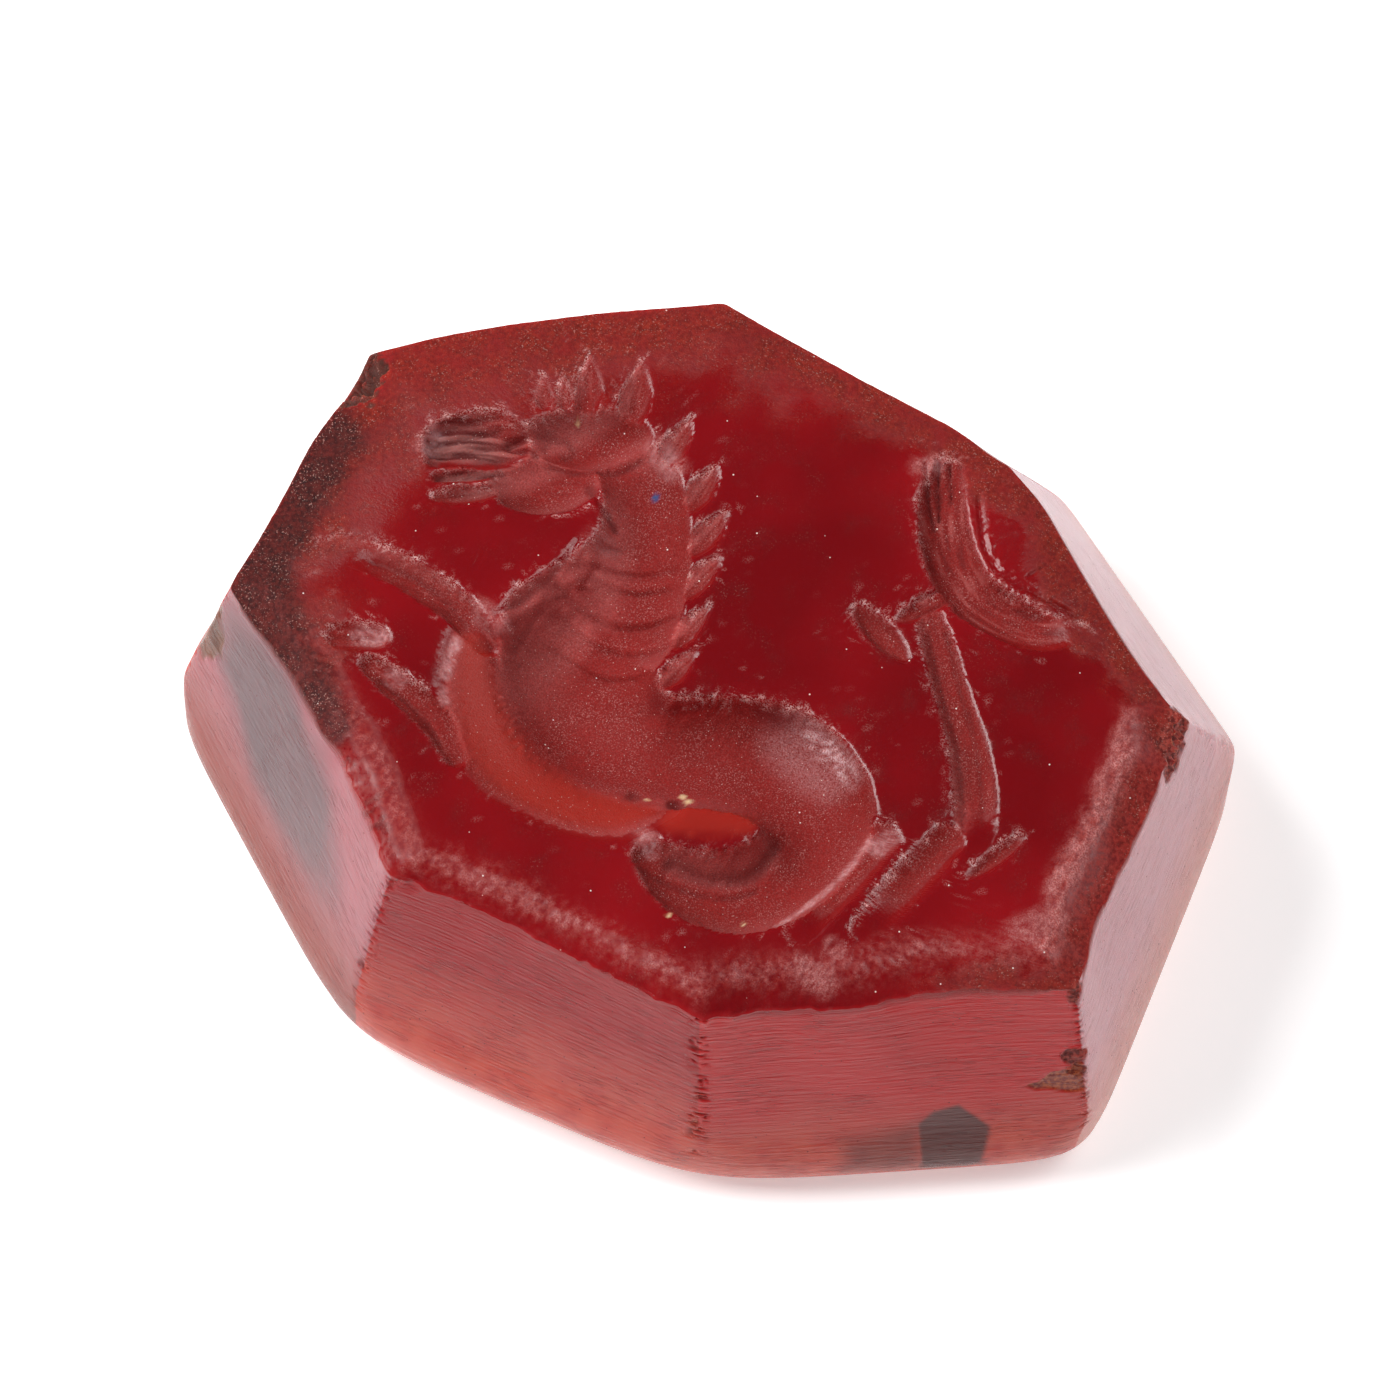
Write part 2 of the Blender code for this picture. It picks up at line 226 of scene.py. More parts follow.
def side_weights(direction, height):
    """Which of the eight sides each direction belongs to, shared between two near a corner."""
    facing = np.maximum(direction @ NORMALS.T, 1e-6) / reaches(height)
    weights = (facing / facing.max(axis=1, keepdims=True)) ** 50
    return weights / weights.sum(axis=1, keepdims=True)


def lay_on_stone(cube):
    """Cube points laid on the stone, in millimetres, and how far in from the table's edge."""
    direction = unit(cube[:, :2] * (TABLE_LENGTH, TABLE_WIDTH))
    square = np.abs(cube[:, :2]).max(axis=1)
    up = (cube[:, 2] + 1) / 2
    turn = np.clip(up / ROUND_SHARE, 0, 1) * np.pi / 2
    straight = GIRDLE + (SHOULDER - GIRDLE) * (up - ROUND_SHARE) / (1 - ROUND_SHARE)
    height = np.where(up < ROUND_SHARE, GIRDLE * (1 - np.cos(turn)), straight)
    reach = outline(direction, height)
    weights = side_weights(direction, np.full(len(cube), SHOULDER))
    square_on = (weights * (direction @ NORMALS.T)).sum(axis=1)
    inset = np.where(up > 1 - 1e-6, reach * (1 - square) * square_on, 0.0)
    eases, ends, sinks, spread_in = (weights @ SHOULDERS).T
    middle = (eases + ends) / 2
    bend = 1 - np.maximum(ends - inset, 0) ** 2 / (2 * middle * (ends - eases))
    rise = np.where(inset < eases, inset / middle, bend)
    worn = sinks * (1 - smooth(0.0, 1.0, inset / spread_in))
    height = height + (SHOULDER_DROP * rise - worn * np.minimum(rise, 1)) * (up > 1 - 1e-6)
    bites = BITES[0] * rough(direction * 5.5, 0.42, 6.0) + BITES[1] * rough(direction * 5.5, 0.15, 6.5)
    bites *= smooth(SHOULDER - 0.22, SHOULDER - 0.02, height) * (1 - smooth(0.0, 0.14, inset))
    bites *= weights[:, NEAR_SIDES].sum(axis=1)
    return np.column_stack([direction * (reach * square + bites)[:, None], height]), inset


print("highest point, mm:", round(float(lay_on_stone(points_of(stone_mesh))[0][:, 2].max()), 3))

# %% [markdown]
# ## The cutter's strokes
# A gem cutter holds the stone against small spinning wheels fed with grit. A round wheel leaves
# a round trough, a thin disc leaves a slit that tapers at both ends, and a ball leaves a bowl.
# Each stroke is a line of points with a half width at each, and a steepness: how deep the trough
# is for its half width. The solid was cut with the same strokes, so the two agree.

# %% The strokes of the sea horse
FIGURE_TURN = math.radians(25.9)

# Steepness, blend, then x, y and half width along the stroke, in millimetres
STROKES = {
    "flank": (0.50, 0.55, ((-3.01, .20, .26), (-2.89, -.61, .42), (-2.51, -1.30, .50),
                           (-1.89, -1.76, .46), (-1.26, -1.98, .40), (-.76, -2.00, .20))),
    "neck": (0.65, 0.10, ((-1.20, 2.75, .36), (-.88, 2.30, .50), (-.82, 1.75, .56),
                          (-.92, 1.10, .66), (-1.20, .45, .78))),
    "breast": (0.55, 0.20, ((-1.20, 1.50, .26), (-1.70, 1.05, .34), (-2.15, .62, .44))),
    "body": (0.784, 0.20, ((-1.40, .52, .66), (-1.72, -.10, 1.00), (-1.46, -.82, .96),
                           (-.80, -1.22, .76), (.10, -1.28, .76), (.84, -1.46, .80),
                           (1.32, -2.02, .73), (1.10, -2.74, .62), (.40, -3.12, .58),
                           (-.30, -3.00, .44), (-.74, -2.66, .24))),
    "upper_foreleg": (0.90, 0.05, ((-2.86, .24, .20), (-3.18, .68, .22), (-3.54, .96, .22),
                                   (-3.92, 1.20, .22), (-4.40, 1.42, .22), (-4.72, 1.52, .18))),
    "lower_foreleg": (0.90, 0.05, ((-3.20, -1.32, .14), (-3.38, -.92, .20), (-3.66, -.60, .21),
                                   (-3.96, -.34, .19), (-4.26, -.08, .14))),
    "tail_stem": (0.80, 0.02, ((2.70, .72, .14), (2.84, .20, .20), (3.04, -.56, .21),
                               (3.22, -1.20, .24), (3.30, -1.85, .27), (3.30, -2.40, .26))),
    "tail_fin": (0.80, 0.02, ((2.96, 2.56, .20), (2.90, 2.05, .30), (2.99, 1.42, .34),
                              (3.21, .94, .34), (3.61, .61, .32), (4.14, .36, .27),
                              (4.70, .34, .12))),
    "muzzle": (0.81, 0.08, ((-3.30, 2.94, .34), (-3.02, 2.96, .38), (-2.60, 2.90, .36))),
    "lip_top": (1.0, 0.02, ((-3.50, 2.70, .11), (-3.05, 2.74, .15))),
    "nose_top": (1.0, 0.02, ((-3.46, 3.06, .11), (-3.05, 3.22, .13), (-2.66, 3.26, .12))),
    "mouth": (1.0, 0.02, ((-3.42, 2.46, .08), (-3.05, 2.50, .12), (-2.60, 2.56, .12))),
    "fin_left": (0.62, 0.02, ((2.14, -2.44, .23), (1.66, -3.02, .25), (1.14, -3.64, .22))),
    "fin_middle": (0.62, 0.02, ((2.96, -2.46, .23), (2.48, -3.02, .25), (1.96, -3.64, .22))),
    "hoof": (0.55, 0.02, ((-4.66, .31, .17), (-4.42, .31, .20), (-4.20, .29, .18))),
}

# Strokes that grow shallow towards their last point, and over how many millimetres
FADING = {"upper_foreleg": 1.3, "tail_stem": 0.8, "tail_fin": 0.9, "fin_left": 0.9, "fin_middle": 1.1}
# Strokes rubbed smooth at the rim, and how far in from it
RUBBED = {"tail_leaf": 0.10, "fin_right": 0.06}

# How strongly the wheel's marks show along a stroke, where it isn't the usual 0.45
MARKED = {"body": 0.12, "neck": 0.08, "breast": 0.30, "flank": 0.0, "muzzle": 1.0, "lip_top": 1.0,
          "mouth": 1.0, "tail_fin": 0.9, "upper_foreleg": 0.6}
# Strokes whose left wall the photograph shows as light as their floor
# Their left walls lie in shade; this is how strongly painted light pales them
LIGHT_WALLS = {"neck": 0.7, "breast": 0.7, "tail_stem": 0.8, "upper_foreleg": 0.4}

# %% The thin strokes, the mane and the bowls
# Start, end, half width and depth of the strokes that taper to both ends
SLITS = {
    "lower_lip": ((-3.50, 2.18), (-2.56, 2.30), .13, .16),
    "tail_cross": ((2.34, .50), (3.10, .90), .14, .12),
    "tail_leaf": ((1.80, .70), (2.46, -.04), .20, .16),
    "fin_right": ((3.92, -2.40), (3.22, -2.96), .13, .10),
}

# Root, length, lean in degrees and half width of each tuft of the mane
MANE = (
    ((-2.11, 3.38), .50, 0, .10), ((-1.84, 3.36), .48, 2, .10), ((-1.56, 3.30), .88, -2, .16),
    ((-1.02, 3.16), .92, -10, .19), ((-.60, 2.62), .72, -30, .15), ((-.28, 2.02), .70, -32, .16),
    ((-.26, 1.42), .74, -40, .16), ((-.36, .84), .74, -42, .16), ((-.50, .16), .72, -42, .15),
    ((-.62, -.38), .66, -42, .14),
)

# Middle, half length, half width and depth of the bowls that a ball left
BOWLS = {
    "brow": ((-1.56, 2.98), .82, .42, .46),
    "jaw": ((-2.10, 2.42), .72, .46, .42),
}
print(len(STROKES), "strokes,", len(SLITS), "slits,", len(MANE), "tufts,", len(BOWLS), "bowls")

# %% The fine lines
# Half width and depth, then points along the line
LINES = {
    "muzzle_1": (.05, .050, ((-3.51, 2.79), (-3.01, 2.90), (-2.64, 2.96))),
    "muzzle_2": (.05, .050, ((-3.54, 2.95), (-3.08, 3.07), (-2.66, 3.14))),
    "muzzle_3": (.05, .045, ((-3.44, 3.11), (-3.01, 3.24), (-2.69, 3.29))),
    "muzzle_4": (.05, .055, ((-3.46, 2.64), (-3.01, 2.72), (-2.64, 2.78))),
    "mouth": (.06, .080, ((-3.44, 2.46), (-3.01, 2.50), (-2.62, 2.58))),
    "eye_top": (.08, .130, ((-2.56, 2.97), (-2.34, 3.03))),
    "eye_low": (.07, .110, ((-2.51, 2.94), (-2.19, 2.82))),
    "eye_spot": (.09, .040, ((-2.15, 3.09), (-2.00, 3.11))),
    "cheek": (.06, .030, ((-2.20, 2.84), (-1.80, 2.70), (-1.40, 2.66), (-.96, 2.78))),
    "brow_low": (.08, .060, ((-2.00, 2.70), (-1.60, 2.60), (-1.20, 2.60), (-.90, 2.74))),
    "brow_ring": (.06, .035, ((-2.10, 2.92), (-2.02, 3.06), (-1.80, 3.06), (-1.72, 2.94), (-1.84, 2.86))),
    "jaw_low": (.07, .045, ((-2.62, 2.12), (-2.20, 1.98), (-1.70, 2.06))),
    "fold_1": (.08, .050, ((-1.66, 1.71), (-1.44, 1.62), (-1.20, 1.58))),
    "fold_2": (.06, .040, ((-1.46, 1.33), (-1.00, 1.28), (-.51, 1.31))),
    "fold_3": (.10, .050, ((-1.73, 1.43), (-1.36, 1.16), (-.96, 1.04), (-.60, 1.06))),
    "fold_4": (.12, .075, ((-1.88, 1.04), (-1.55, .78), (-1.01, .61), (-.50, .65))),
    "fold_5": (.11, .065, ((-1.84, .74), (-1.36, .38), (-.74, .22), (-.22, .31))),
    "fold_6": (.11, .035, ((-1.90, .34), (-1.40, .02), (-.84, -.10))),
    "breast_1": (.06, .040, ((-1.66, 1.60), (-1.90, 1.26), (-2.30, .88), (-2.70, .60))),
    "breast_2": (.06, .030, ((-1.50, 1.20), (-1.86, .98), (-2.20, .66), (-2.50, .22))),
    "throat": (.08, .080, ((-1.54, 2.37), (-1.39, 2.12), (-1.21, 1.82))),
    "upper_leg": (.05, .050, ((-4.24, 1.33), (-3.86, 1.21), (-3.46, .96), (-3.06, .52))),
    "lower_leg": (.05, .060, ((-4.14, -.24), (-3.82, -.50), (-3.56, -.78), (-3.40, -1.10))),
    "stem_left": (.05, .045, ((2.72, .34), (2.90, -.47), (3.10, -1.28), (3.16, -2.30))),
    "stem_right": (.05, .045, ((2.95, .34), (3.14, -.47), (3.34, -1.28), (3.42, -2.22))),
    "fin_1": (.04, .080, ((2.70, 2.66), (2.72, 2.22), (2.80, 1.82))),
    "fin_2": (.04, .080, ((2.85, 2.68), (2.86, 1.95))),
    "fin_3": (.04, .080, ((3.00, 2.68), (3.02, 2.16))),
    "fin_4": (.04, .045, ((3.14, 2.62), (3.16, 2.20))),
    "fin_rim": (.05, .060, ((3.36, 2.22), (3.46, 1.42), (3.78, 1.05), (4.60, .60))),
    "nick_1": (.03, .030, ((3.44, 2.02), (3.46, 1.75))),
    "nick_2": (.03, .030, ((3.56, 1.48), (3.57, 1.25))),
    "nick_3": (.03, .030, ((3.99, 1.12), (4.21, 1.29))),
    "cross_1": (.03, .030, ((2.50, .74), (2.88, .94))),
    "cross_2": (.03, .030, ((2.58, .58), (2.99, .80))),
    "coil_inner": (.14, .080, ((-.50, -2.70), (.01, -2.86), (.53, -2.78), (.80, -2.40))),
    "coil_lower": (.05, .050, ((-.89, -2.80), (-.35, -3.00), (.19, -3.08), (.57, -2.96))),
    "hoof_1": (.035, .030, ((-4.80, .42), (-4.40, .43), (-4.14, .38))),
    "hoof_2": (.035, .030, ((-4.84, .30), (-4.40, .31), (-4.10, .28))),
    "hoof_3": (.035, .030, ((-4.78, .20), (-4.40, .20), (-4.12, .18))),
    "scratch_1": (.03, .012, ((.19, .03), (.41, -.26))),
    "scratch_2": (.03, .012, ((.49, .44), (.76, .30))),
    "scratch_3": (.03, .012, ((-2.75, 1.58), (-2.99, 1.20))),
    "scratch_4": (.03, .012, ((2.10, -1.20), (2.36, -1.34), (2.60, -1.52))),
    "scratch_5": (.03, .012, ((2.26, -1.02), (2.50, -.86))),
    "scratch_6": (.03, .012, ((3.96, -1.20), (4.30, -1.14))),
    "scratch_7": (.03, .012, ((.20, -.48), (.44, -.30), (.62, -.36))),
}

print(len(LINES), "fine lines")


# %% Turn the strokes into paths
PATH_STEP = 0.05
CREASE = 0.02


def even_path(rows, step):
    """A smooth line through rows of numbers, in steps of about this many millimetres."""
    rows = np.array(rows, float)
    ends = np.vstack([rows[:1], rows, rows[-1:]])
    line = []
    for before, start, end, after in zip(ends, ends[1:], ends[2:], ends[3:]):
        count = max(2, round(np.hypot(*(end - start)[:2]) / step))
        part = (np.arange(count) / count)[:, None]
        bend = (2 * before - 5 * start + 4 * end - after) * part ** 2
        twist = (3 * start - before - 3 * end + after) * part ** 3
        line.append(0.5 * (2 * start + (end - before) * part + bend + twist))
    return np.vstack(line + [rows[-1:]])


def tapered(start, end, half_width):
    """The path of a stroke that tapers to both ends."""
    part = np.linspace(0, 1, 25)[:, None]
    swell = 0.15 + 0.85 * np.sin(np.pi * part) ** 0.7
    return np.hstack([np.array(start) * (1 - part) + np.array(end) * part, half_width * swell])


def tuft(root, length, lean, half_width):
    """The path of one tuft of the mane: broad near its root and sharp at its tip."""
    lean = math.radians(lean)
    tip = (root[0] - length * math.sin(lean), root[1] + length * math.cos(lean))
    path = tapered(root, tip, half_width)
    part = np.linspace(0, 1, len(path))
    path[:, 2] = half_width * (0.06 + 0.98 * np.sin(np.pi * part ** 0.65) ** 1.1)
    return path


TROUGHS = {name: (steep, blend, even_path(rows, PATH_STEP)) for name, (steep, blend, rows) in STROKES.items()}
TROUGHS |= {name: (depth / width, CREASE, tapered(start, end, width))
            for name, (start, end, width, depth) in SLITS.items()}
TROUGHS |= {f"mane_{n}": (0.9, CREASE, tuft(*row)) for n, row in enumerate(MANE)}
print(len(TROUGHS), "troughs,", sum(len(path) for *_, path in TROUGHS.values()), "path points")

# %% How far a point is from a stroke
NEAR = 0.30
FAR_OFF = 9.0


def nearest(points, path, near=NEAR):
    """Each point's margin to a stroke, below nought inside it, and the nearest row of its path."""
    margin = np.full(len(points), FAR_OFF)
    row = np.zeros(len(points), int)
    reach = path[:, 2].max() + near
    low, high = path[:, :2].min(axis=0) - reach, path[:, :2].max(axis=0) + reach
    close = np.flatnonzero(np.all((points > low) & (points < high), axis=1))
    for some in np.array_split(close, len(close) // 20000 + 1):
        gaps = np.hypot(points[some, None, 0] - path[None, :, 0], points[some, None, 1] - path[None, :, 1])
        gaps -= path[None, :, 2]
        row[some] = gaps.argmin(axis=1)
        margin[some] = gaps.min(axis=1)
    return margin, row


def to_figure(points):
    """Points on the table, turned so that the sea horse stands upright."""
    along, up = points[:, 0], points[:, 1]
    cosine, sine = math.cos(FIGURE_TURN), math.sin(FIGURE_TURN)
    return np.column_stack([along * cosine + up * sine, up * cosine - along * sine])


def bowl_share(points, middle, half_length, half_width):
    """How far out each point lies in an oval bowl: nought in the middle, one at its rim."""
    return np.hypot((points[:, 0] - middle[0]) / half_length, (points[:, 1] - middle[1]) / half_width)


def margin_to_figure(points):
    """The margin to the nearest stroke, bowl or fine line."""
    best = np.full(len(points), FAR_OFF)
    for half_width, _, rows in LINES.values():
        path = np.array([(x, y, half_width) for x, y in even_path(rows, half_width)])
        best = np.minimum(best, nearest(points, path)[0])
    for *_, path in TROUGHS.values():
        best = np.minimum(best, nearest(points, path)[0])
    for middle, half_length, half_width, _ in BOWLS.values():
        share = bowl_share(points, middle, half_length, half_width)
        best = np.minimum(best, (share - 1) * half_width)
    return best


def spread(points, path, half_width):
    """One along a line, fading to nought a little past this half width."""
    path = [(x, y, 0.0) for x, y in path]
    path = even_path(path, PATH_STEP) if len(path) > 1 else np.array(path)
    return 1 - smooth(0.4, 1.3, nearest(points, path, 1.3 * half_width)[0] / half_width)


# %% [markdown]
# ## Finer squares where the wheel went
# A grid fine enough for the mane would be far too heavy all over. So the squares are cut again
# only where something happens: first the whole table, the ridges and the broken spots, and then
# the sea horse with its rims and the worn shoulder, which catch the light.

# %% Choosing squares
ON_TOP = (0.99999, 2.0)
ON_SIDE = (-0.99, 0.99)
DARK_GRAIN = np.array((5.11, -3.48, 1.29))
# Middle and reach of the scar, the amber wedge and the broken corner
SIDE_BREAKS = (((-6.15, -1.95, 2.80), 0.85), ((6.10, -2.35, 2.15), 0.75), ((-5.95, 1.60, 3.45), 0.70))
FINE_SPOTS = SIDE_BREAKS + ((DARK_GRAIN, 0.65), ((5.75, 1.70, 3.60), 0.60))


def squares_between(mesh, low, high):
    """The squares of the cube between two levels, and their places and insets on the stone."""
    middles = [(face, face.calc_center_median()) for face in mesh.faces if len(face.verts) == 4]
    middles = [(face, tuple(middle)) for face, middle in middles if low < middle.z < high]
    return [face for face, _ in middles], *lay_on_stone(np.array([middle for _, middle in middles]))


def chosen(squares, wanted):
    """The squares whose mark is true."""
    return [square for square, mark in zip(squares, wanted) if mark]


def near_ridge(middles, width):
    """Whether each place lies along a ridge between two bevels."""
    facing = np.sort(unit(middles[:, :2]) @ NORMALS.T / reaches(middles[:, 2]), axis=1)
    return 1 - facing[:, -2] / facing[:, -1] < width


def near_spots(middles, spots):
    """Whether each place lies near one of these spots."""
    return np.any([np.linalg.norm(middles - spot, axis=1) < size for spot, size in spots], axis=0)


def cut_again(mesh, squares):
    """Cut each of these squares into four."""
    edges = dict.fromkeys(edge for square in squares for edge in square.edges)
    bmesh.ops.subdivide_edges(mesh, edges=list(edges), cuts=1, use_grid_fill=True)


# %% Cut the table and the ridges again
top, *_ = squares_between(stone_mesh, *ON_TOP)
for whole_table in (top, []):
    sides, middles, _ = squares_between(stone_mesh, *ON_SIDE)
    wanted = near_ridge(middles, 0.045) | near_spots(middles, FINE_SPOTS)
    cut_again(stone_mesh, whole_table + chosen(sides, wanted))
sides, middles, _ = squares_between(stone_mesh, *ON_SIDE)
way_round = np.degrees(np.arctan2(middles[:, 1], middles[:, 0])) % 360
worn_ridge = near_ridge(middles, 0.014) & (way_round > 215) & (way_round < 350)
cut_again(stone_mesh, chosen(sides, worn_ridge | near_spots(middles, SIDE_BREAKS)))
print("squares along the worn ridges:", int(worn_ridge.sum()))

# %% Cut the sea horse and the worn shoulder again
squares, middles, insets = squares_between(stone_mesh, *ON_TOP)
margins = margin_to_figure(to_figure(middles))
cut_again(stone_mesh, chosen(squares, (margins < 0.10) | (insets < 0.60)))
triangles = sum(len(face.verts) - 2 for face in stone_mesh.faces)
print("after cutting again:", len(stone_mesh.verts), "points,", triangles, "triangles")

# %% Lay the grid on the stone
stone_points, stone_inset = lay_on_stone(points_of(stone_mesh))
on_table = points_of(stone_mesh)[:, 2] > ON_TOP[0]
figure_points = to_figure(stone_points)
count = len(stone_points)


def ripple(size, seed):
    """Smooth noise over the table, with features of this size in millimetres."""
    return rough(figure_points, size, seed)


def push_in(depth):
    """Push every point towards the stone's axis by its own depth."""
    stone_points[:, :2] -= depth[:, None] * unit(stone_points[:, :2])


print("points on the table:", int(on_table.sum()))

# %% [markdown]
# ## Cutting the sea horse
# The depth of every stroke is worked out for every point of the table, and the deepest wins,
# just as grit only takes away. The rims are never clean on the real stone, because the grit
# bites out tiny flakes, so the margin is made ragged with noise before the depth is taken.

# %% Ragged rims
RIM_ROUND = 0.02
RAGGED = 0.016

ragged = RAGGED * (ripple(0.11, 3.0) + 1.3 * ripple(0.05, 8.0))
print(f"rims wander by up to {np.abs(ragged).max():.3f} mm")


# %% The depth of a trough
def trough(margin, half_width, steep):
    """How deep a round wheel cuts, in millimetres; below nought outside the trough."""
    share = 1 + margin / half_width
    radius = (1 + steep ** 2) / (2 * steep)
    held = np.minimum(share, radius * 0.98)
    depth = np.sqrt(radius ** 2 - held ** 2) - (radius - steep)
    return (depth - (share - held) * 10) * half_width


def rounded(depth):
    """The depth with its rim rounded off, never below nought."""
    return 0.5 * (depth + np.sqrt(depth ** 2 + RIM_ROUND ** 2)) * smooth(-0.10, -0.02, depth)


def union(one, other, blend):
    """The deeper of two depths, with the crease between them blended."""
    overlap = np.maximum(blend - np.abs(one - other), 0) / blend
    return np.maximum(one, other) + overlap ** 2 * blend / 4


def beside_path(points, path, row):
    """How far to the right of its nearest row of a path each point lies."""
    way = unit(np.gradient(path[:, :2], axis=0))[row]
    off = points - path[row, :2]
    return off[:, 0] * way[:, 1] - off[:, 1] * way[:, 0]


def kept_share(name, path, row, margin):
    """How much of its depth a stroke keeps where it fades out or its rim is rubbed."""
    kept = np.ones(len(row))
    if name in FADING:
        kept = smooth(-0.15, FADING[name], (len(path) - 1 - row) * PATH_STEP)
    if name in RUBBED:
        kept = kept * smooth(0.0, RUBBED[name], -margin)
    return kept


def wheel_lines(name, path, row, points):
    """The fine lines that the grit drew along a stroke, about minus one to one."""
    along = np.column_stack([beside_path(points, path, row), row * 0.006])
    return rough(along, 0.055, 90.0 + len(name)) * MARKED.get(name, 0.45)


# %% Cut the strokes
UP_LEFT = np.array((-0.45, 0.89))
WIDE_STROKES = ("flank", "neck", "breast", "body")

# For each point: the depth, the margins to all strokes, to the flank and to the other wide ones,
# how far it lies up its stroke's upper left wall, and its wall's dust, marks, painted light and painted shade
cut = np.full(count, -1.0)
rim_margin, flank_margin, body_margin = (np.full(count, FAR_OFF) for _ in range(3))
lean, painted_wall_light, dim, wheel_marks = (np.zeros(count) for _ in range(4))
broad, in_bowl = (np.zeros(count, bool) for _ in range(2))
dusted = np.ones(count)
for name, (steep, blend, path) in TROUGHS.items():
    margin, row = nearest(figure_points, path)
    depth = np.where(margin < FAR_OFF, trough(margin + ragged, path[row, 2], steep), -1.0)
    kept = kept_share(name, path, row, margin)
    depth = np.where(depth > 0, depth * kept, depth)
    deeper = (depth > cut) & (depth > 0)
    nearest_rim = (margin + ragged < rim_margin) & (depth <= 0)
    across = (figure_points - path[row, :2]) @ UP_LEFT / path[row, 2]
    lean = np.where(deeper | nearest_rim, across, lean)
    broad[deeper] = name in WIDE_STROKES
    painted_wall_light[deeper] = 1.0 if name.startswith("mane") else LIGHT_WALLS.get(name, 0.0)
    dim[deeper] = 0.0 if name.startswith("mane") else 0.35
    dusted[deeper] = smooth(0.15, 0.80, kept[deeper]) if name in FADING else 1.0
    wheel_marks[deeper] = wheel_lines(name, path, row[deeper], figure_points[deeper])
    cut = union(cut, depth, blend)
    rim_margin = np.minimum(rim_margin, margin + ragged)
    if name == "flank":
        flank_margin = margin
    elif name in WIDE_STROKES:
        body_margin = np.minimum(body_margin, margin)
print(f"deepest stroke {cut.max():.2f} mm")

# %% Cut the bowls
BALL_LIFT = 0.35

for middle, half_length, half_width, full in BOWLS.values():
    share = bowl_share(figure_points, middle, half_length, half_width)
    ball = np.sqrt(np.maximum(1 + BALL_LIFT ** 2 - share ** 2, 0)) - BALL_LIFT
    bowl = full * ball / (math.sqrt(1 + BALL_LIFT ** 2) - BALL_LIFT)
    inside = (share < 1.05) & (bowl > cut)
    lean = np.where(inside, (figure_points - middle) @ UP_LEFT / half_width, lean)
    broad |= inside
    in_bowl |= inside
    wheel_marks[inside] = 0.4 * rough((figure_points[inside] - middle) * (0.12, 1.0), 0.055, 120.0)
    cut = union(cut, np.where(share < 1.05, bowl, -1.0), 0.04)
    rim_margin = np.minimum(rim_margin, (share - 1) * half_width + ragged)
cut = rounded(cut) * on_table
print("points in the bowls:", int(in_bowl.sum()))

# %% [markdown]
# ## The worn wall of the belly
# Between the flank and the body the wall has been rubbed to a soft slope. The depth there is
# taken as the mean of the depths around each point, which rounds the wall as rubbing does.


# %% Rub the wall down
def wide_forms(points):
    """How deep the body and the flank are cut, without their fine lines."""
    depth = np.full(len(points), -1.0)
    for name in ("flank", "body"):
        steep, blend, path = TROUGHS[name]
        margin, row = nearest(points, path)
        depth = union(depth, trough(margin, path[row, 2], steep), blend)
    return np.maximum(depth, 0)


rubbed_wall = smooth(0.30, 0.0, flank_margin) * smooth(-0.90, -0.45, body_margin)
on_wall = np.flatnonzero((rubbed_wall > 0) & on_table)
turns = np.radians(np.arange(0, 360, 45))
steps = [radius * np.array((np.cos(turn), np.sin(turn))) for radius in (0.14, 0.30) for turn in turns]
rubbed = np.mean([wide_forms(figure_points[on_wall] + step) for step in steps], axis=0)
cut[on_wall] += rubbed_wall[on_wall] * (rubbed - wide_forms(figure_points[on_wall]))
cut = np.maximum(cut, 0)
wheel_marks *= smooth(0.0, 0.06, cut)
print(f"points on the rubbed wall: {len(on_wall)}, deepest cut {cut.max():.2f} mm")

# %% [markdown]
# ## Fine lines
# Over the big forms the cutter drew thin lines: grooves along the muzzle and the fin, and a
# second line in each foreleg. Each is a shallow groove added to what is there. A fold of the
# neck is a groove with one steep side, so that a crest stands beside it.

# %% Fine lines of the figure
# Middle, radius and depth of the small hollows that a drill left
HOLLOWS = (((-.42, -1.87), .17, .16), ((-.96, -1.70), .15, .07))

lines, folds = np.zeros(count), np.zeros(count)
for name, (half_width, depth, rows) in LINES.items():
    path = even_path(rows, half_width / 3)
    gap, row = nearest(figure_points, np.column_stack([path, np.zeros(len(path))]))
    if name.startswith("fold"):
        below = beside_path(figure_points, path, row) + ragged * 0.5
        ends = np.exp(-((np.abs(gap) - np.abs(below)) / 0.10) ** 2)
        scoop = np.where(below > 0, np.exp(-(below / (half_width * 1.5)) ** 2), np.exp(-(below / 0.02) ** 2))
        folds = np.maximum(folds, 1.5 * depth * scoop * ends * (np.abs(gap) < 1))
    else:
        lines = np.maximum(lines, depth * np.exp(-((gap + ragged * 0.5) / (half_width * 0.6)) ** 2))
for middle, radius, depth in HOLLOWS:
    share = bowl_share(figure_points, middle, radius, radius)
    lines = np.maximum(lines, depth * (1 - smooth(0.2, 1.0, share)))
lines *= on_table
folds *= on_table * smooth(0.05, 0.20, cut)
print(f"deepest line {lines.max():.2f} mm, deepest fold {folds.max():.2f} mm")

# %% Carve the table
CRUMB_DEPTH = 0.05
FLAKE_DEPTH = 0.03
MARK_DEPTH = 0.006

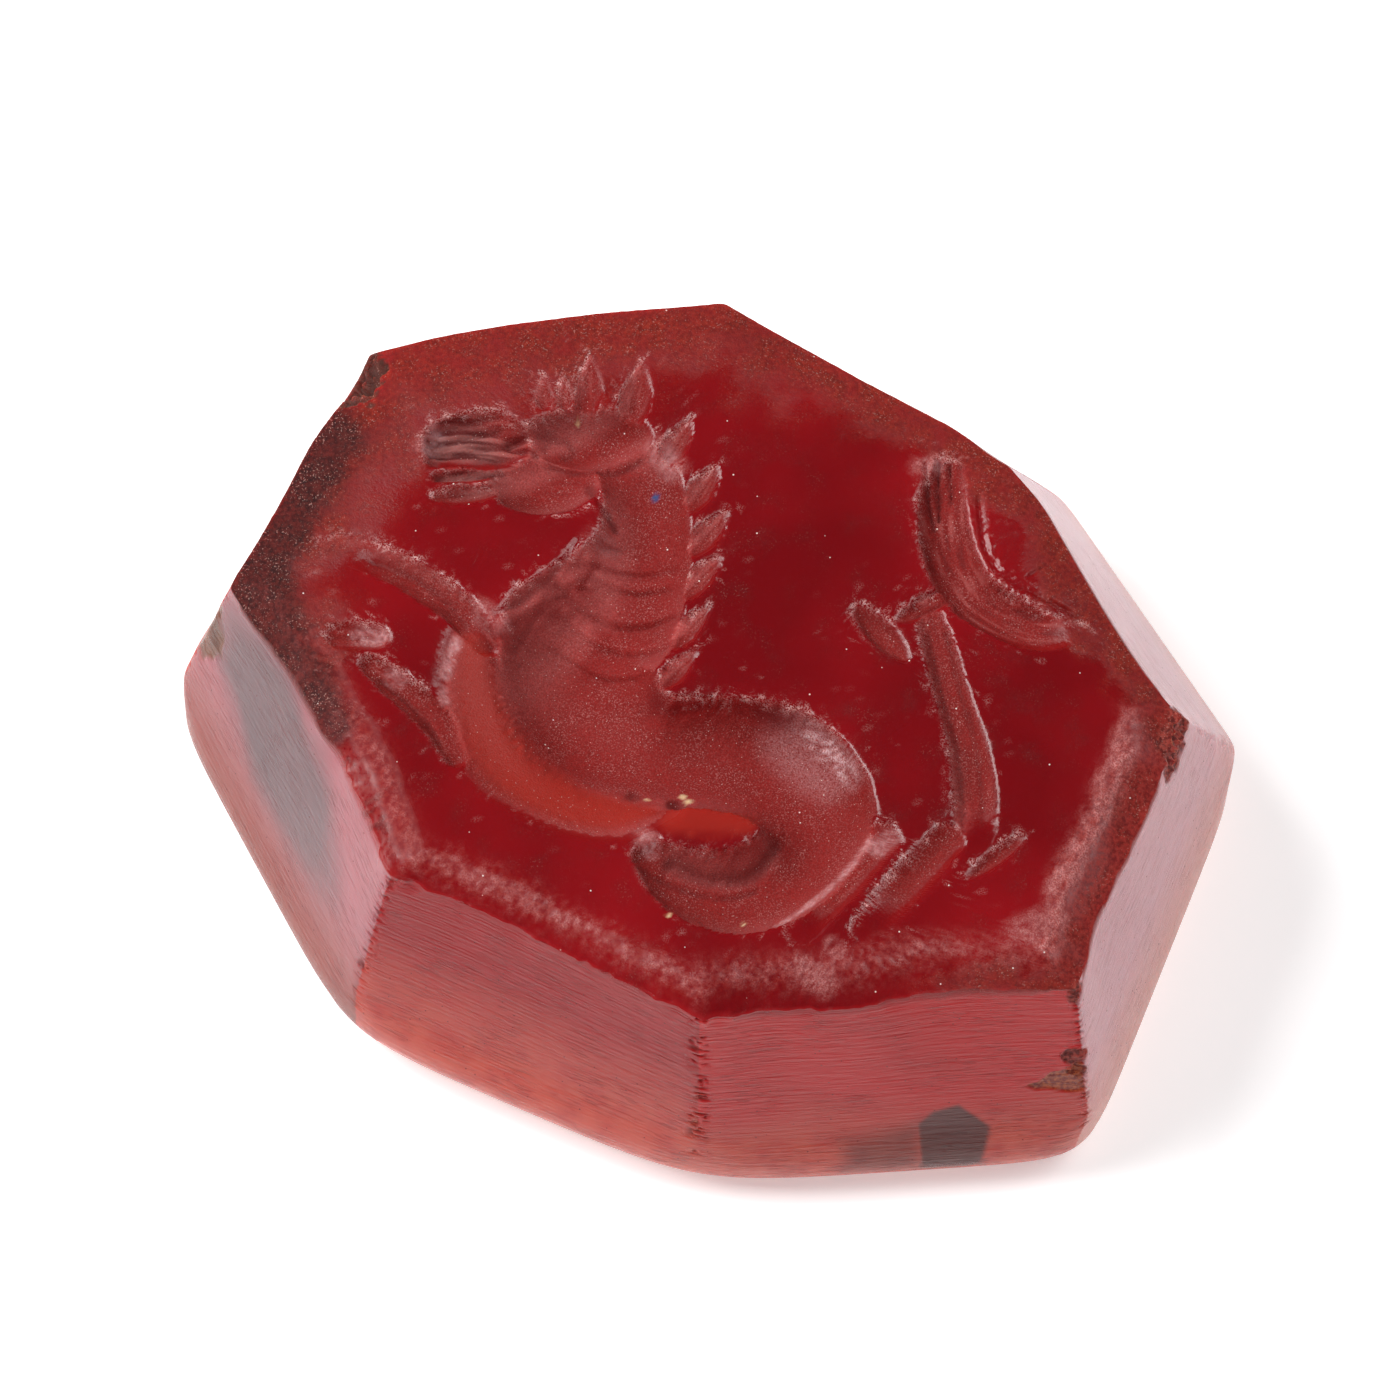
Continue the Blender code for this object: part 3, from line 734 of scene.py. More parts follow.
crumbs = np.maximum(ripple(0.07, 40.0) + 0.5 * ripple(0.035, 41.0), 0)
flakes = np.maximum(ripple(0.06, 42.0), 0)
lit_rim = np.exp(-(rim_margin / 0.07) ** 2) * smooth(0.05, 0.65, lean) * on_table
any_rim = np.exp(-((rim_margin + 0.015) / 0.030) ** 2) * (rubbed_wall < 0.1) * on_table
carved = np.minimum(stone_points[:, 2], HEIGHT - cut) - np.maximum(lines, folds)
stone_points[:, 2] = np.where(on_table, carved, stone_points[:, 2])
stone_points[:, 2] -= CRUMB_DEPTH * lit_rim * crumbs
stone_points[:, 2] -= MARK_DEPTH * wheel_marks * on_table
stone_points[:, 2] -= FLAKE_DEPTH * any_rim * flakes
print("lowest point of the table's cuts, mm:", round(float(stone_points[on_table, 2].min()), 2))

# %% [markdown]
# ## The worn edge of the table
# Inside the table's edge the polish is gone: a band of tiny flakes and dents, like leather, that
# shines in spots. The same band is kept as a mask, so that the material can pale its bumps.

# %% The leathery bands
# Side of the table, how far in the band runs, its half width and strength
BANDS = ((5, 0.36, 0.17, 0.85), (6, 0.32, 0.18, 0.85), (0, 0.54, 0.13, 1.50), (7, 0.46, 0.22, 0.60))
BUMP_HEIGHT = 0.012
EDGE_DENT = 0.010

beside = side_weights(unit(stone_points[:, :2]), np.full(count, SHOULDER))
wavy_inset = stone_inset + 0.07 * ripple(0.45, 50.0)
band = np.zeros(count)
for side, inset, width, strength in BANDS:
    here = strength * np.exp(-((wavy_inset - inset) / width) ** 2)
    if side == 0:
        here *= 1 - smooth(1.0, 2.0, stone_points[:, 1])
    band = np.maximum(band, here * smooth(0.15, 0.60, beside[:, side]))
band *= on_table
leather = 0.7 * ripple(0.19, 51.0) + 1.0 * ripple(0.085, 52.0) + 0.4 * ripple(0.40, 53.0)
along_edge = np.column_stack([stone_points[:, 0], stone_points[:, 1] / 2.6])
leather_right = 1.3 * rough(along_edge, 0.075, 55.0) + 0.6 * rough(along_edge, 0.16, 56.0)
leather += beside[:, 0] * (leather_right - leather)
stone_points[:, 2] += (BUMP_HEIGHT - 0.005 * beside[:, 5] - 0.003 * beside[:, 0]) * band * leather
edge_wear = (1 - smooth(0.15, 0.8, stone_inset)) * on_table
stone_points[:, 2] += EDGE_DENT * edge_wear * ripple(0.10, 54.0)
print(f"points in the bands: {int((band > 0.3).sum())}")

# %% [markdown]
# ## The broken corner
# One corner of the table has lost a flake. The flake is a ball pressed into the stone: every
# point inside the ball slides inwards until it lies on the ball's far side. The ball's middle
# is shaken a little for each point, so that the break is jagged.


# %% Press the flake out
def lumps(points, size):
    """Smooth noise in three directions, with features of this size in millimetres."""
    return np.array([noise.noise(Vector(point) / size) for point in points])


def press(points, middle, radius, inward):
    """Slide the points inside a ball along one direction until they leave it."""
    inward = inward / np.linalg.norm(inward)
    offset = (points - middle) / radius
    step = inward / radius
    square = step @ step
    along = offset @ step
    beyond = (offset ** 2).sum(axis=1) - 1
    inside = beyond < 0
    slide = np.where(inside, (np.sqrt(np.maximum(along * along - square * beyond, 0)) - along) / square, 0.0)
    return points + slide[:, None] * inward, inside


def table_corner(first, second, height):
    """Where the ridge between two neighbouring bevels is at a height."""
    reach = reaches(np.array([height]))[0]
    return np.append(np.linalg.solve(NORMALS[[first, second]], reach[[first, second]]), height)


FLAKE_PLACE = np.array((-6.0106, 1.5725, 3.90))
FLAKE_SIZES = np.array((0.66, 0.52, 0.50))
FLAKE_SLANT = 0.9

from_corner = np.linalg.norm((stone_points - table_corner(3, 4, 3.85)) * (1.0, 1.0, 1.5), axis=1)
from_corner += 0.20 * rough(stone_points[:, 1:], 0.30, 7.0) + 0.10 * rough(stone_points[:, 1:], 0.12, 8.0)
outward = np.append(unit(FLAKE_PLACE[None, :2])[0], FLAKE_SLANT)
wobble = 0.10 * lumps(stone_points, 0.16) + 0.06 * lumps(stone_points, 0.07)
shaken = FLAKE_PLACE + wobble[:, None] * outward
stone_points, in_flake = press(stone_points, shaken, FLAKE_SIZES, -outward)
broken = np.maximum(~on_table * smooth(0.72, 0.56, from_corner), in_flake)
print("points in the broken corner:", int(broken.sum()))

# %% [markdown]
# ## Smaller breaks
# The corners at the right end have crumbled, and the side has lost a brown flake on the left
# and an amber one at the lower right. Each is pushed in by a lumpy depth inside a ragged
# outline, and its outline is kept as a mask for the material.

# %% Crumbled corners
# The two bevels that meet there, height, radius, and how far along the first bevel it lies
PATCHES = ((0, 1, 3.66, 0.42, -0.10), (0, 1, 3.62, 0.42, -0.34), (0, 1, 3.60, 0.30, -0.62),
           (7, 0, 3.66, 0.20, 0.0), (7, 0, 2.50, 0.20, -0.10), (7, 0, 2.22, 0.16, -0.10))

crumbled = np.zeros(count)
for first, second, height, radius, along in PATCHES:
    spot = table_corner(first, second, height)
    spot[:2] += along * np.array((-NORMALS[first, 1], NORMALS[first, 0]))
    here = np.flatnonzero(np.linalg.norm(stone_points - spot, axis=1) < radius * 1.6)
    away = np.linalg.norm(stone_points[here] - spot, axis=1) + 0.35 * radius * lumps(stone_points[here], 0.22)
    patch = smooth(1.0, 0.75, away / radius)
    grain = lumps(stone_points[here], 0.11) + 0.7 * lumps(stone_points[here], 0.055)
    push = patch * (0.012 + 0.055 * grain)
    stone_points[here, :2] -= push[:, None] * unit(spot[None, :2])[0]
    crumbled[here] = np.maximum(crumbled[here], patch)
print("crumbled points:", int((crumbled > 0.5).sum()))

# %% The scar and the amber wedge
AMBER_RIDGE = (6.22, -2.30)
AMBER_HEIGHT = 2.06
AMBER_LENGTH = 0.68
AMBER_HALF_HEIGHT = 0.32
SCAR_DEPTH = 0.025
AMBER_DEPTH = 0.03

bevel_of = unit(stone_points[:, :2]) @ NORMALS.T / reaches(np.minimum(stone_points[:, 2], SHOULDER))
bevel_of = np.where(on_table, -1, bevel_of.argmax(axis=1))
seen_left = -(stone_points[:, 0] * 0.90 + stone_points[:, 1] * 0.437)
seen_up = stone_points @ (-0.405, 0.834, 0.375)
scar_edge = 0.05 * rough(stone_points[:, [0, 2]] * (1.6, 1.0), 0.22, 11.0)
scar = smooth(6.12, 6.20, seen_left + scar_edge) * smooth(1.48, 1.56, seen_up + scar_edge)
scar *= ~on_table * smooth(2.05, 2.20, stone_points[:, 2] + 3 * scar_edge)
push_in(scar * (SCAR_DEPTH + 0.4 * scar_edge))
from_ridge = np.linalg.norm(stone_points[:, :2] - AMBER_RIDGE, axis=1)
wedge = AMBER_HALF_HEIGHT * (1 - from_ridge / AMBER_LENGTH) + 0.09 * rough(
    stone_points[:, [0, 2]] * (1.0, 2.0), 0.16, 12.0)
wedge -= np.abs(stone_points[:, 2] - AMBER_HEIGHT + 0.10 * from_ridge)
amber = smooth(-0.04, 0.06, wedge) * (bevel_of == 7) * (from_ridge < 0.9)
push_in(AMBER_DEPTH * amber)
print(f"points in the scar and the wedge: {int((scar > 0.5).sum())}, {int((amber > 0.5).sum())}")

# %% [markdown]
# ## Nicks along the ridges
# Knocks have taken a row of tiny flakes from each ridge between two bevels, most of them on the
# near side. They come in clusters, and run across the ridge as thin streaks.

# %% Nick the ridges
# How worn the ridge between each pair of neighbouring bevels is
RIDGE_WEAR = {(6, 7): 1.0, (0, 7): 0.9, (5, 6): 0.9, (0, 1): 0.5,
              (4, 5): 0.4, (3, 4): 0.4, (2, 3): 0.2, (1, 2): 0.2}
NICK_DEPTH = 0.045

facing = np.maximum(unit(stone_points[:, :2]) @ NORMALS.T, 1e-6) / reaches(stone_points[:, 2])
pairs = np.sort(np.argsort(facing, axis=1)[:, -2:], axis=1)
facing.sort(axis=1)
level = stone_points[:, 2]
around = np.arctan2(stone_points[:, 1], stone_points[:, 0]) * 6
streaks = rough(np.column_stack([level, around * 0.16]), 0.050, 70.0)
streaks += 0.5 * rough(np.column_stack([level, around * 0.3]), 0.022, 72.0)
clusters = rough(np.column_stack([level, around]), 0.28, 71.0)
wear = np.array([RIDGE_WEAR.get((first, second), 0.0) for first, second in pairs.tolist()])
wear *= np.exp(-((1 - facing[:, -2] / facing[:, -1]) / 0.012) ** 2) * smooth(0.9, 1.3, level) * ~on_table
nicked = wear * smooth(-0.60, 0.30, clusters) * smooth(0.0, 0.35, streaks)
push_in(NICK_DEPTH * nicked)
print("points in nicks:", int((nicked > 0.2).sum()))

# %% [markdown]
# ## Dirt and brick-red wear
# Round the left end the table is worn brick red, and dark dirt lies along the edge there. Both
# follow the edge at a wandering distance. They leave fine grains on the surface.

# %% Where the dirt and the wear lie
# Way round from the middle in degrees, and how far in from the edge the brick-red wear reaches
WORN_REACH = ((0, .7), (30, .8), (58, 1.0), (85, 1.1), (124, 1.7), (150, 2.0), (176, 2.2), (198, 1.6),
              (212, .3), (222, 0), (318, 0), (338, .45))
# The line along which the dirt lies, its half width and strength
DIRT = ((((-4.90, 3.00), (-5.30, 2.30), (-5.60, 1.60), (-5.66, 1.00), (-5.50, .40)), 0.60, 1.0),
        (((-5.40, .30), (-5.00, -.30), (-4.76, -.80)), 0.34, 0.8))
DIRT_GRAIN = 0.016
BRICK_GRAIN = 0.007

wander = stone_inset + 0.35 * ripple(0.5, 5.0) + 0.15 * ripple(0.15, 5.5)
dirty = np.max([strength * spread(figure_points, path, width) for path, width, strength in DIRT], axis=0)
dirty += 0.30 * ripple(0.35, 6.5) + 0.15 * ripple(0.12, 6.6)
dirt = smooth(-0.10, 1.00, dirty)
dirt = np.maximum(dirt, 0.45 * beside[:, 5] * (1 - smooth(0.02, 0.16, wander)) * smooth(-0.1, 0.4, leather))
way_round = np.degrees(np.arctan2(stone_points[:, 1], stone_points[:, 0])) % 360
worn_reach = np.maximum(np.interp(way_round, *np.transpose(WORN_REACH), period=360), 0.01)
brick = (1 - smooth(0.12, 1.0, wander / worn_reach)) * smooth(0.05, 0.5, worn_reach)
grains = ripple(0.10, 60.0) + 0.8 * ripple(0.05, 61.0)
stone_points[:, 2] += on_table * (DIRT_GRAIN * dirt + BRICK_GRAIN * brick) * grains * (rim_margin > 0)
print(f"dirty points: {int((dirt > 0.5).sum())}")

# %% [markdown]
# ## Into the frame
# The finished points are moved from the stone's own middle to the middle of the solid's box and
# held a hair inside it, so that the piece never stands out of the part it dresses.

# %% Set the stone in the frame
EDGE_GAP = 0.002
TOP_GAP = 0.001

stone_points[:, 2] = np.minimum(stone_points[:, 2], HEIGHT - TOP_GAP)
placed = stone_points + np.array((-MIDDLE[0], -MIDDLE[1], LOW[2]))
half = (HIGH - LOW)[:2] / 2 - EDGE_GAP
centre = (HIGH + LOW)[:2] / 2
squeeze = np.minimum(1, half / np.abs(placed[:, :2] - centre).max(axis=0))
placed[:, :2] = centre + (placed[:, :2] - centre) * squeeze
for vertex, spot in zip(stone_mesh.verts, placed):
    vertex.co = Vector(spot) * MM
print("box, mm:", np.round(placed.min(axis=0), 3), np.round(placed.max(axis=0), 3))

# %% The stone as one object
stone_mesh.verts.index_update()
border = set(np.flatnonzero(on_table & (stone_inset < 1e-6)).tolist())
bmesh.ops.recalc_face_normals(stone_mesh, faces=stone_mesh.faces)
for face in stone_mesh.faces:
    face.smooth = True
for edge in stone_mesh.edges:
    edge.smooth = not (edge.verts[0].index in border and edge.verts[1].index in border)
open_edges = sum(not edge.is_manifold for edge in stone_mesh.edges)
stone_data = bpy.data.meshes.new("engraved_carnelian")
stone_mesh.to_mesh(stone_data)
stone_mesh.free()
stone = bpy.data.objects.new("engraved_carnelian", stone_data)
bpy.context.scene.collection.objects.link(stone)
print(len(stone_data.polygons), "faces,", open_edges, "open edges")

# %% [markdown]
# ## Masks for the material
# The material has to know where the cuts, the rims and the wear lie, and where light, shade,
# glow and reflections are painted into the colour. Each of these is worked out here as one number
# for each point, from nought to one, because the points are dense enough to carry it, and stored
# on the mesh under a name that the shader reads.

# %% Frosted spots
# A line or a point, half width and strength
FROSTED = (
    (((-3.20, .24), (-3.33, -.20)), .09, 1.0),
    (((-3.36, -.40), (-3.34, -.56)), .07, .8),
    (((-4.40, .34), (-4.15, .30)), .14, .9),
    (((-1.50, 1.66), (-1.30, 1.58)), .14, .3),
    (((-2.86, .66), (-2.66, .50)), .16, .6),
    (((-3.60, 2.90), (-3.50, 3.05)), .16, .8),
    (((-.66, 2.86), (-.46, 2.60)), .18, .7),
    (((2.62, 2.60), (2.80, 2.66)), .14, .8),
    (((2.00, -2.42), (1.62, -2.86), (.84, -3.54)), .06, 1.0),
    (((2.20, -2.42), (2.12, -2.50)), .16, .7),
    (((-.83, -2.40), (-.75, -2.50)), .14, .8),
    (((1.10, -4.16), (1.42, -4.30)), .22, .9),
    (((1.50, -3.86), (1.60, -3.96)), .12, .8),
    (((3.90, -3.66), (4.26, -3.50)), .22, .8),
    (((-4.00, -.20), (-3.90, -.24)), .12, .6),
)

patchy = 0.5 + 0.35 * ripple(0.22, 21.0) + 0.25 * ripple(0.10, 22.0)
fine = 0.5 + 0.5 * ripple(0.05, 34.0)
frost = np.minimum(band * smooth(-0.55, 1.00, leather), 1)
frost = np.where(beside[:, 0] > 0.5, np.minimum(band, 1) * smooth(-0.80, 0.50, leather), frost)
frost *= (1 - 0.8 * dirt) * (1 - 0.25 * beside[:, 5])
for path, half_width, strength in FROSTED:
    spot = spread(figure_points, path, half_width) * strength
    frost = np.maximum(frost, spot * smooth(0.25, 0.65, 0.5 * patchy + 0.5 * fine))
frost *= on_table
print(f"frosted points: {int((frost > 0.3).sum())}")

# %% Flaked rims with a painted highlight on their lit side, and a painted glow on the clear red wall between the body and the coil's tip
ISLAND = ((-.45, -2.16), (.40, -2.18))
ISLAND_LIP = ((-.50, -2.34), (-.10, -2.42), (.30, -2.36), (.50, -2.22))

# Real flakes along the rims, whitened as a painted highlight mostly on their upper left, lit side
faint_rim = 0.35 * np.exp(-(rim_margin / 0.025) ** 2) * smooth(-0.6, 0.2, lean)
rim = np.maximum(faint_rim, lit_rim * smooth(0.05, 0.35, crumbs)) * smooth(0.20, 0.60, patchy)
rim *= 1 - smooth(0.05, 0.40, rubbed_wall)
rim *= 1 - 0.65 * (bowl_share(figure_points, (0.0, -2.35), 0.8, 0.42) < 1)
flecks = smooth(0.46, 0.66, ripple(0.10, 43.0) + 0.35 * ripple(0.04, 44.0))
off_island = bowl_share(figure_points, (0.0, -2.2), 0.7, 0.5) >= 1
rim = np.maximum(rim, 0.22 * flecks * np.exp(-(rim_margin / 0.50) ** 2) * (rim_margin > 0) * off_island)
# Painted glow: the wall between the flank and the body, the island and its lip are painted a brighter red, as
# light shining through the stone
wavy = 0.16 * ripple(0.40, 9.0) + 0.06 * ripple(0.12, 9.5)
clear = smooth(0.04, -0.25, flank_margin) * smooth(-0.48, 0.02, body_margin + wavy)
clear = np.maximum(clear, 0.8 * spread(figure_points, ISLAND, 0.22))
clear = np.maximum(clear, spread(figure_points, ISLAND_LIP, 0.05) * smooth(-0.3, 0.3, crumbs - 0.1))
print(f"points on rims: {int((rim > 0.3).sum())}, clear points: {int((clear > 0.5).sum())}")

# %% Painted light and shade in the cuts
UPPER_WALL = ((-.60, -.44), (-.10, -.36), (.45, -.42), (.85, -.62))
CRESCENT = ((-.40, -2.66), (.20, -2.76), (.66, -2.52))

inside = smooth(0.0, 0.06, cut) * on_table
dusty = np.where(broad, smooth(-1.25, -0.95, lean), smooth(-0.80, -0.25, lean))
shaded = np.where(broad, 0.9 * ~in_bowl * smooth(0.55, 0.95, lean), dim * smooth(0.25, 0.75, lean))
shaded *= 1 - np.maximum(painted_wall_light, 0.5 * broad * (figure_points[:, 0] < -0.9))
shadow = spread(figure_points, UPPER_WALL, 0.24) * smooth(0.0, 0.12, -rim_margin)
by_breast = smooth(-0.7, -1.4, figure_points[:, 0]) * smooth(-1.4, -0.6, figure_points[:, 1])
by_breast *= broad & ~in_bowl
# Painted light on walls that lie in shade: these strokes' left walls, the bowls, the breast and the crescent
# under the island
pale_wall = np.maximum(painted_wall_light, 0.75 * in_bowl) * smooth(0.0, 0.50, lean)
pale_wall = np.maximum(pale_wall, 0.55 * by_breast * smooth(-0.1, 0.35, lean))
pale_wall = np.maximum(pale_wall, 0.5 * spread(figure_points, CRESCENT, 0.22))
print(f"points on pale walls: {int((pale_wall > 0.5).sum())}")

# %% The painted sheen on the coil: streaks of painted highlight on its inner wall
COIL_MIDDLE = (0.70, -1.95)
SHEEN_MIDDLE = (1.62, -1.08)

off_middle = figure_points - COIL_MIDDLE
outwards, turn = np.hypot(*off_middle.T), np.arctan2(*off_middle.T)
streak = rough(np.column_stack([outwards, turn * 0.16]), 0.040, 80.0)
sheen = np.exp(-((rim_margin + 0.15) / 0.13) ** 2) * smooth(-0.5, 0.4, streak)
sheen *= 1 - smooth(0.25, 0.70, bowl_share(figure_points, SHEEN_MIDDLE, 1, 1))
sheen = np.maximum(sheen, 0.16 * spread(figure_points, ((1.05, -.95), (1.45, -1.30)), 0.46))
print(f"points with a sheen: {int((sheen > 0.3).sum())}")


# %% Patches on the bevels
def in_corners(across, height, corners):
    """How far inside a convex outline each point lies; the corners go round it clockwise."""
    depth = np.full(len(across), FAR_OFF)
    for (x0, y0), (x1, y1) in zip(corners, corners[1:] + corners[:1]):
        length = math.hypot(x1 - x0, y1 - y0)
        side = ((across - x0) * (y1 - y0) - (height - y0) * (x1 - x0)) / length
        depth = np.minimum(depth, side)
    return depth


def along_bevel(side, spot):
    """How far along one bevel each point lies from a spot on it."""
    along = np.array((-NORMALS[side, 1], NORMALS[side, 0]))
    return np.where(bevel_of == side, (stone_points[:, :2] - spot[:2]) @ along, FAR_OFF)


# Corners of the dark grain and of the smear beside it: along the bevel, and height
GRAIN = ((-.48, 1.44), (-.28, 1.66), (.05, 1.76), (.46, 1.30), (.38, .96), (.30, .60), (-.44, .60))
SMEAR = ((-1.42, 1.22), (-.40, 1.50), (-.40, .60), (-1.42, .60))
GREY_PATCH = np.array((-4.64, -3.01, 2.70))

level = stone_points[:, 2]
by_grain = along_bevel(7, DARK_GRAIN)
grain = smooth(-0.03, 0.05, in_corners(by_grain, level, GRAIN))
smear = smooth(-0.20, 0.22, in_corners(by_grain, level, SMEAR))
by_patch = along_bevel(5, GREY_PATCH)
oval = np.hypot(by_patch / 2.1, (level - GREY_PATCH[2] + 0.25 * by_patch) / 1.05)
grey = 1 - smooth(0.55, 1.15, oval + 0.12 * rough(stone_points[:, [0, 2]], 0.5, 4.0))
warm = smooth(-1.2, 0.6, rough(stone_points[:, [0, 2]] * (1, 2.5), 1.3, 8.0) + 0.3) * smooth(1.0, 2.2, level)
print(f"points in the dark grain: {int((grain > 0.5).sum())}, in the grey patch: {int((grey > 0.5).sum())}")

# %% Store the masks
BLUE_SPECK = ((-.70, 2.29),)
# Place and radius of each pale grain of dust
PALE_SPECKS = (((-1.68, 3.29), .030), ((-.35, -1.69), .045), ((-.28, -1.78), .050), ((-.80, -1.78), .030),
               ((.41, -3.44), .030), ((-.52, -3.46), .035))

masks = {
    "table": on_table * smooth(-0.01, 0.02, stone_inset),
    "cut": inside * dusty * dusted,
    "deep": inside * (1 - dusty),
    # Painted shade in the fine grooves
    "line": np.minimum(lines / 0.06, 1.0),
    "edge": any_rim,
    "muzzle": inside * spread(figure_points, ((-3.20, 2.98), (-3.00, 2.66)), 0.50),
    # Painted shade and a painted shadow on the walls of the cuts
    "shade": inside * shaded,
    "shadow": inside * shadow,
    # Painted light on walls that lie in shade
    "pale_wall": inside * pale_wall,
    # Painted light on the lower right walls of the wide cuts
    "lit": inside * broad * smooth(-0.25, -0.90, lean),
    "marks": inside * wheel_marks,
    # Painted highlight on the coil's wall
    "sheen": inside * sheen,
    # Flaked rims, with a painted highlight on their lit side
    "rim": on_table * rim,
    "frost": frost,
    "matt_band": np.minimum(1.6 * band, 1) * beside[:, 5],
    "scuffed": np.maximum(band, edge_wear * (beside[:, 0] + 0.6 * beside[:, 5])),
    "dirt": on_table * dirt,
    "brick": on_table * brick,
    # Painted glow of light shining through the stone
    "clear": on_table * clear,
    "nicked": nicked,
    "broken": broken,
    "scar": scar,
    "amber": amber,
    "crumbled": crumbled,
    "dark_grain": np.maximum(0.9 * grain, 0.60 * smear),
    "grey": np.where(bevel_of == 5, grey, 0.0),
    # Painted reflections of the white floor on three bevels
    "pink": bevel_of == 5,
    "warm": np.where(bevel_of == 7, warm, 0.0),
    "pale": np.where(bevel_of == 0, 0.85, np.where(bevel_of == 1, 1.0, 0.0)),
    "blue_speck": spread(figure_points, BLUE_SPECK, 0.055),
    "pale_speck": np.max([spread(figure_points, (spot,), size) for spot, size in PALE_SPECKS], axis=0),
}
for name, values in masks.items():
    layer = stone_data.attributes.new(name, "FLOAT", "POINT")
    layer.data.foreach_set("value", np.asarray(values, np.float32))
print("masks:", ", ".join(masks))

# %% [markdown]
# ## The red stone
# Carnelian is a translucent quartz, deep red here. Light goes a little way in and comes back
# redder, so the shader has a short subsurface radius, longest in red. The colours are laid one
# over the other: the stone itself with painted reflections of the floor on three bevels, then
# wear and dirt, then the cuts and their dust with painted light, shade and glow on their walls,
# then flaked rims with a painted highlight, breaks and specks, some of them painted glints.

# %% The material, and short ways to make its nodes
carnelian = bpy.data.materials.new("carved_carnelian")
carnelian.use_nodes = True
tree = carnelian.node_tree
tree.nodes.clear()


def add(kind, **inputs):
    """A node of this kind with some of its inputs set."""
    node = tree.nodes.new(kind)
    for name, value in inputs.items():
        node.inputs[name.replace("_", " ")].default_value = value
    return node


def link(one, other):
    """Join an output socket to an input socket."""
    tree.links.new(one, other)


def fill(socket, value):
    """Give an input socket a number, a colour or another node's output."""
    if isinstance(value, tuple):
        socket.default_value = (*value, 1.0)
    elif isinstance(value, float):
        socket.default_value = value
    else:
        link(value, socket)


# %% Colours and numbers in the shader
def mask(name):
    """The number that each point of the stone carries under this name."""
    node = tree.nodes.new("ShaderNodeAttribute")
    node.attribute_name = name
    return node.outputs["Fac"]


def mix(share, one, other):
    """One colour turning into another where the share is high."""
    node = tree.nodes.new("ShaderNodeMix")
    node.data_type = "RGBA"
    fill(node.inputs["Factor"], share)
    fill(node.inputs[6], one)
    fill(node.inputs[7], other)
    return node.outputs[2]


def between(value, low, high, start=0.0, end=1.0):
    """A value brought from one range to another, held at its ends."""
    node = add("ShaderNodeMapRange", From_Min=low, From_Max=high, To_Min=start, To_Max=end)
    link(value, node.inputs["Value"])
    return node.outputs["Result"]


def work(operation, one, other):
    """Arithmetic on two values."""
    node = tree.nodes.new("ShaderNodeMath")
    node.operation = operation
    fill(node.inputs[0], one)
    fill(node.inputs[1], other)
    return node.outputs["Value"]


def times(one, other):
    """The product of two values."""
    return work("MULTIPLY", one, other)


def most(one, *others):
    """The largest of several values."""
    for other in others:
        one = work("MAXIMUM", one, other)
    return one


# %% Patterns in the stone
place = add("ShaderNodeTexCoord").outputs["Object"]


def noise_at(size, detail=2.0, stretch=(1.0, 1.0, 1.0)):
    """Noise with features of this size in millimetres, drawn out along the axes by the stretch."""
    mapping = add("ShaderNodeMapping")
    mapping.inputs["Scale"].default_value = tuple(1 / part for part in stretch)
    link(place, mapping.inputs["Vector"])
    node = add("ShaderNodeTexNoise", Scale=1 / (size * MM), Detail=detail)
    link(mapping.outputs["Vector"], node.inputs["Vector"])
    return node.outputs["Fac"]


def specks(spacing, radius):
    """Tiny round spots, about one for each cell of this spacing in millimetres."""
    cells = add("ShaderNodeTexVoronoi", Scale=1 / (spacing * MM), Randomness=1.0)
    link(place, cells.inputs["Vector"])
    share = radius / spacing
    return between(cells.outputs["Distance"], share * 0.7, share * 1.3, 1.0, 0.0)


cloud = noise_at(2.6, 2.0)
mottle = noise_at(0.35, 3.0)
scuff = noise_at(0.055, 2.0)
crumb = noise_at(0.05, 2.0)
powder = noise_at(0.022, 3.0)
grit = noise_at(0.020, 1.0)
dash = noise_at(0.035, 3.0, (18.0, 18.0, 1.0))
axes = tree.nodes.new("ShaderNodeSeparateXYZ")
link(place, axes.inputs["Vector"])
height = axes.outputs["Z"]
off_table = between(mask("table"), 0.0, 1.0, 1.0, 0.0)
print("nodes for the patterns:", len(tree.nodes))

# %% The table and the bevels, with painted reflections of the floor on some bevels
# Fine grinding lines run round the bevels, so their noise is drawn out sideways
field = mix(between(cloud, 0.35, 0.65), (0.155, 0.003, 0.005), (0.245, 0.005, 0.008))
# Painted reflections of the white floor: pink on one bevel, pale on two, paler higher up
painted_reflection_pink = mix(between(height, 0.0008, 0.0024), (0.27, 0.058, 0.040), (0.38, 0.120, 0.138))
painted_reflection_pale = mix(between(height, 0.0008, 0.0022), (0.68, 0.31, 0.26), (0.66, 0.36, 0.39))
slate = mix(between(cloud, 0.35, 0.65), (0.135, 0.078, 0.084), (0.185, 0.105, 0.112))
facet = mix(between(height, 0.0006, 0.0028), (0.60, 0.105, 0.070), (0.31, 0.008, 0.010))
facet = mix(between(mottle, 0.40, 0.75, 0.0, 0.5), facet, (0.38, 0.016, 0.022))
facet = mix(mask("warm"), facet, (0.50, 0.014, 0.016))
facet = mix(mask("pink"), facet, painted_reflection_pink)
facet = mix(mask("pale"), facet, painted_reflection_pale)
facet = mix(mask("grey"), facet, slate)
facet = mix(between(dash, 0.42, 0.30, 0.0, 0.18), facet, (0.16, 0.010, 0.010))
groove = between(noise_at(0.019, 1.0, (16.0, 16.0, 1.0)), 0.58, 0.64)
groove = times(groove, between(noise_at(0.70, 1.0), 0.44, 0.58))
